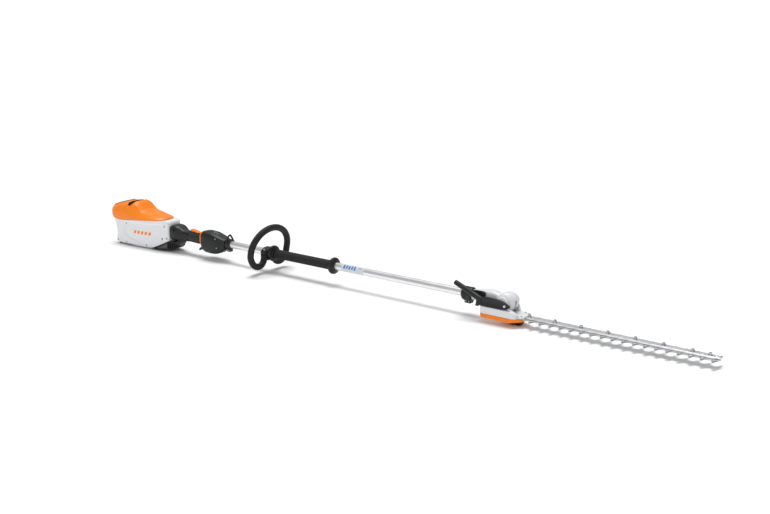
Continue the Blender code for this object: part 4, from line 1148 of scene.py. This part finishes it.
def bottom_cover():
    outline = arc(1672, -36.5, 9.7, 270, 130, 8) + [(1700, -24), (1726.5, -18), (1726.5, 34), (1774, 34),
        (1786, 29), (1795, 20), (1799, 14), (1799, -14), (1795, -20), (1781, -36), (1770, -46.2)]
    cover = slab("bottom_cover", outline, "z", FLOOR_Z, SPLIT_Z - 0.3, ORANGE)
    soften(cover, 3.6, 4, 24)
    notch(cover, (1731, 1795), (-20, 20), (-46, -30))
    notch(cover, (1790, 1830), (-16.5, 16.5), (-44.3, -30))
    for rib in range(2):
        z = -42.5 - 3.4 * rib
        carve(cover, [(1668, -50), (1782, -50), (1782, -45.6), (1668, -45.6)], "z", z - 0.45, z + 0.45)
    for s, y in COVER_SCREWS:
        bore(cover, (s, y, -60), (s, y, -48.4), 3.4, 28)
    soften(cover, 0.4, 2, 45)
    fit(cover, "head", "orange_housing", "bottom_cover")
    for count, (s, y) in enumerate(COVER_SCREWS):
        cross_screw("cover_screw_%d" % count, s, y, -48.7, (0, 0, -1), "head", 2.8)
    skid = slab("rest_foot", [(1742, -51.3), (1744.6, -59), (1748, -64.2), (1750, -65), (1782, -65),
        (1784, -64.2), (1787.4, -59), (1790, -51.3)], "y", -10, 10, RUBBER)
    soften(skid, 1.2, 3, 20)
    for groove in range(5):
        notch(skid, (1751.5 + 6 * groove, 1753.5 + 6 * groove), (-12, 12), (-66, -64.2))
    fit(skid, "head", "black_rubber", "rest_foot")


bottom_cover()


# ---------------------------------------------------------------- tilt handle and release lever
# A black drop-shaped cover beside the pivot carries a straight ribbed stalk that swings the head.
# The thin squeeze lever behind it frees the tilt lock.
def tilt_handle():
    drop = [(1650, -15), (1700, -14.9), (1740, -14.6), (1752, -13.2), (1762, -10), (1768, -5), (1766, -1),
        (1758, 3.4), (1748, 7), (1735, 10.9), (1718, 13.6), (1700, 14.5), (1686, 14.2), (1675, 13),
        (1664, 10.4), (1656, 7), (1650, 0)]
    body = slab("adjust_handle", drop, "y", -45.5, -34.6, BLACK)
    soften(body, 3.2, 5, 20)
    carve(body, [(1735 + (s - 1712) * 0.72 - 18, (z + 0.5) * 0.62) for s, z in drop], "y", -48, -44.7)
    along = (at(1668, -39, 1) - at(1569, -39, 41.5))
    length = along.length / MM
    profile = [(0, 0), (5.6, 0), (7.2, 0.9), (7.8, 3)]
    for rib in range(12):
        place = 7 + rib * 5.4
        thick = 7.8 + 1.4 * place / length
        profile += [(thick, place), (thick, place + 3.0), (thick - 0.6, place + 3.6),
            (thick - 0.6, place + 4.8)]
    profile += [(9.0, 74), (9.3, length), (0, length)]
    stalk = turned("stalk", profile, (1569, -39, 41.5), along, BLACK, 48)
    foot = slab("stalk_foot", [(1646, -19), (1657, -19), (1661, -12), (1664, -4), (1664, 4), (1652, 4)],
        "y", -44, -35.5, BLACK)
    soften(foot, 1.6, 3)
    join(body, stalk, foot)
    soften(body, 0.4, 2, 50)
    fit(body, "head", "black_plastic", "adjust_handle")
    badge = turned("index_mark", [(0, -0.5), (4.4, -0.5), (4.4, 0.3), (4.0, 0.55), (0, 0.6)],
        (1752, -44.9, -3.5), (0, -1, 0), FILM_SILVER, 36)
    fit(badge, "head", "black_plastic")
    outline = [(1617, 14), (1618, 18), (1622, 22), (1638, 23.6), (1655, 24), (1664, 23.2), (1669, 21),
        (1669, 3), (1655, 3), (1649, 8), (1643, 12.4), (1634, 14.6)]
    lever = slab("release_lever", outline, "y", -26, -20, BLACK)
    soften(lever, 1.4, 3, 24)
    bore(lever, (1662, -30, 8), (1662, -15, 8), 2.4, 24)
    for groove in range(4):
        bore(lever, (1622 + 5 * groove, -28, 22.6 + 0.5 * groove),
            (1622 + 5 * groove, -18, 22.6 + 0.5 * groove), 0.8, 16)
    fit(lever, "release_body", "black_plastic", "release_lever")


tilt_handle()


# ---------------------------------------------------------------- cutter blades and guide bar
# Two hardened steel combs slide against each other under an aluminium guide bar. Every tooth is
# ground on its flanks; shouldered bolts in slots, with locknuts above the bar, hold them together.
BLADE_STEEL = metal("blade_steel", (0.66, 0.67, 0.68), 0.40, (1, 30, 30), 0.08, 0.06)
GROUND_EDGE = metal("ground_edge", (0.58, 0.59, 0.60), 0.34, (60, 1, 60), 0.15, 0.05)
BOLTS = [1813 + 87.2 * k for k in range(7)] + [2388]
BLADE_END = 2419.2
TEETH, FIRST_TOOTH, PITCH = 18, 1830, 34


def comb(name, top, body, grind_up):
    """One blade: the comb outline with long bolt slots, and a sloping grind along each tooth."""
    near, far = [], []
    for side, edge in ((-1, near), (1, far)):
        for tooth in range(TEETH):
            middle = FIRST_TOOTH + PITCH * tooth
            edge += [(middle - 9.5, side * 15), (middle - 7.4, side * 17.2), (middle - 3.0, side * 31.2),
                (middle - 2.0, side * 32), (middle + 2.0, side * 32), (middle + 3.0, side * 31.2),
                (min(middle + 7.4, 2413.6), side * 17.2), (min(middle + 9.5, 2414), side * 15)]
    outline = [(1746, -15)] + near + [(2417, -6), (2418.5, 0), (2417, 6)] + far[::-1] + [(1746, 15)]
    flat = slab(name, outline, "z", top - 2, top, BLADE_STEEL)
    for s in BOLTS:
        hole = [(s + 9.5 * math.copysign(1, math.cos(a)) + 4 * math.cos(a), 4 * math.sin(a))
            for a in np.radians(np.arange(-85, 276, 10))]
        carve(flat, hole, "z", top - 4, top + 2)
    flat.data.materials.append(GROUND_EDGE)
    form = bmesh.new()
    form.from_mesh(flat.data)
    face_z = at(0, 0, top if grind_up else top - 2).z
    for corner in form.verts:
        s, y = (corner.co.x - REAR_END) / MM, corner.co.y / MM
        if abs(y) > 17 and abs(corner.co.z - face_z) < 0.0002:
            middle = FIRST_TOOTH + PITCH * round((s - FIRST_TOOTH) / PITCH)
            corner.co.x += (middle - s) * 0.42 * MM
            corner.co.y -= math.copysign(1.4, y) * MM
    form.normal_update()
    for face in form.faces:
        centre = face.calc_center_median()
        if abs(centre.y / MM) > 16 and abs(face.normal.z) < 0.97:
            face.material_index = 1
    form.to_mesh(flat.data)
    form.free()
    polish(flat, 18)
    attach(flat, body)
    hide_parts(name)


comb("upper_blade", -39.2, "upper_blade_body", True)
comb("lower_blade", -41.8, "lower_blade_body", False)


def guide_bar():
    near = [(1787, -12), (2396, -12), (2404, -10.6), (2413, -7), (2418, -3)]
    outline = near + [(BLADE_END, 0)] + [(s, -y) for s, y in reversed(near)]
    bar = slab("guide_bar", outline, "z", -38.9, -33.4, ALUMINIUM)
    soften(bar, 1.0, 3)
    for first, last in zip(BOLTS, BOLTS[1:]):
        carve(bar, [(first + 16, -3.2), (last - 16, -3.2), (last - 13, 0), (last - 16, 3.2),
            (first + 16, 3.2), (first + 13, 0)], "z", -34.1, -30)
    lug = slab("end_lug", [(2397, -34.6), (2403, -29.5), (2409, -29.5), (2413, -34.6)], "y", -3, 3,
        ALUMINIUM)
    soften(lug, 0.8, 2)
    join(bar, lug)
    fit(bar, "head", "aluminium", "guide_bar")
    for count, s in enumerate(BOLTS):
        profile = [(0, -46.2), (5.2, -46.2), (6, -45.6), (6, -44.2), (3, -44.2), (3, -36), (3, -25.6),
            (2.6, -25), (0, -25)]
        bolt = turned("blade_bolt_%d" % count, profile, (s, 0, 0), (0, 0, 1), SCREW_STEEL, 32)
        fit(bolt, "head", "steel")
        profile = [(3, -33.4), (6.8, -33.4), (6.8, -32.6), (6.4, -32.3), (3, -32.3)]
        washer = turned("bolt_washer_%d" % count, profile, (s, 0, 0), (0, 0, 1), SCREW_STEEL, 36)
        fit(washer, "head", "steel")
        nut = slab("lock_nut_%d" % count, hexagon(s, 0, 5.6), "z", -32.4, -27.2, SCREW_STEEL)
        soften(nut, 0.5, 2)
        profile = [(2.8, -28), (4.4, -28), (4.2, -26.6), (3.6, -26.0), (2.8, -26.0)]
        collar = turned("nut_collar", profile, (s, 0, 0), (0, 0, 1), SCREW_STEEL, 32)
        join(nut, collar)
        fit(nut, "head", "steel")


guide_bar()
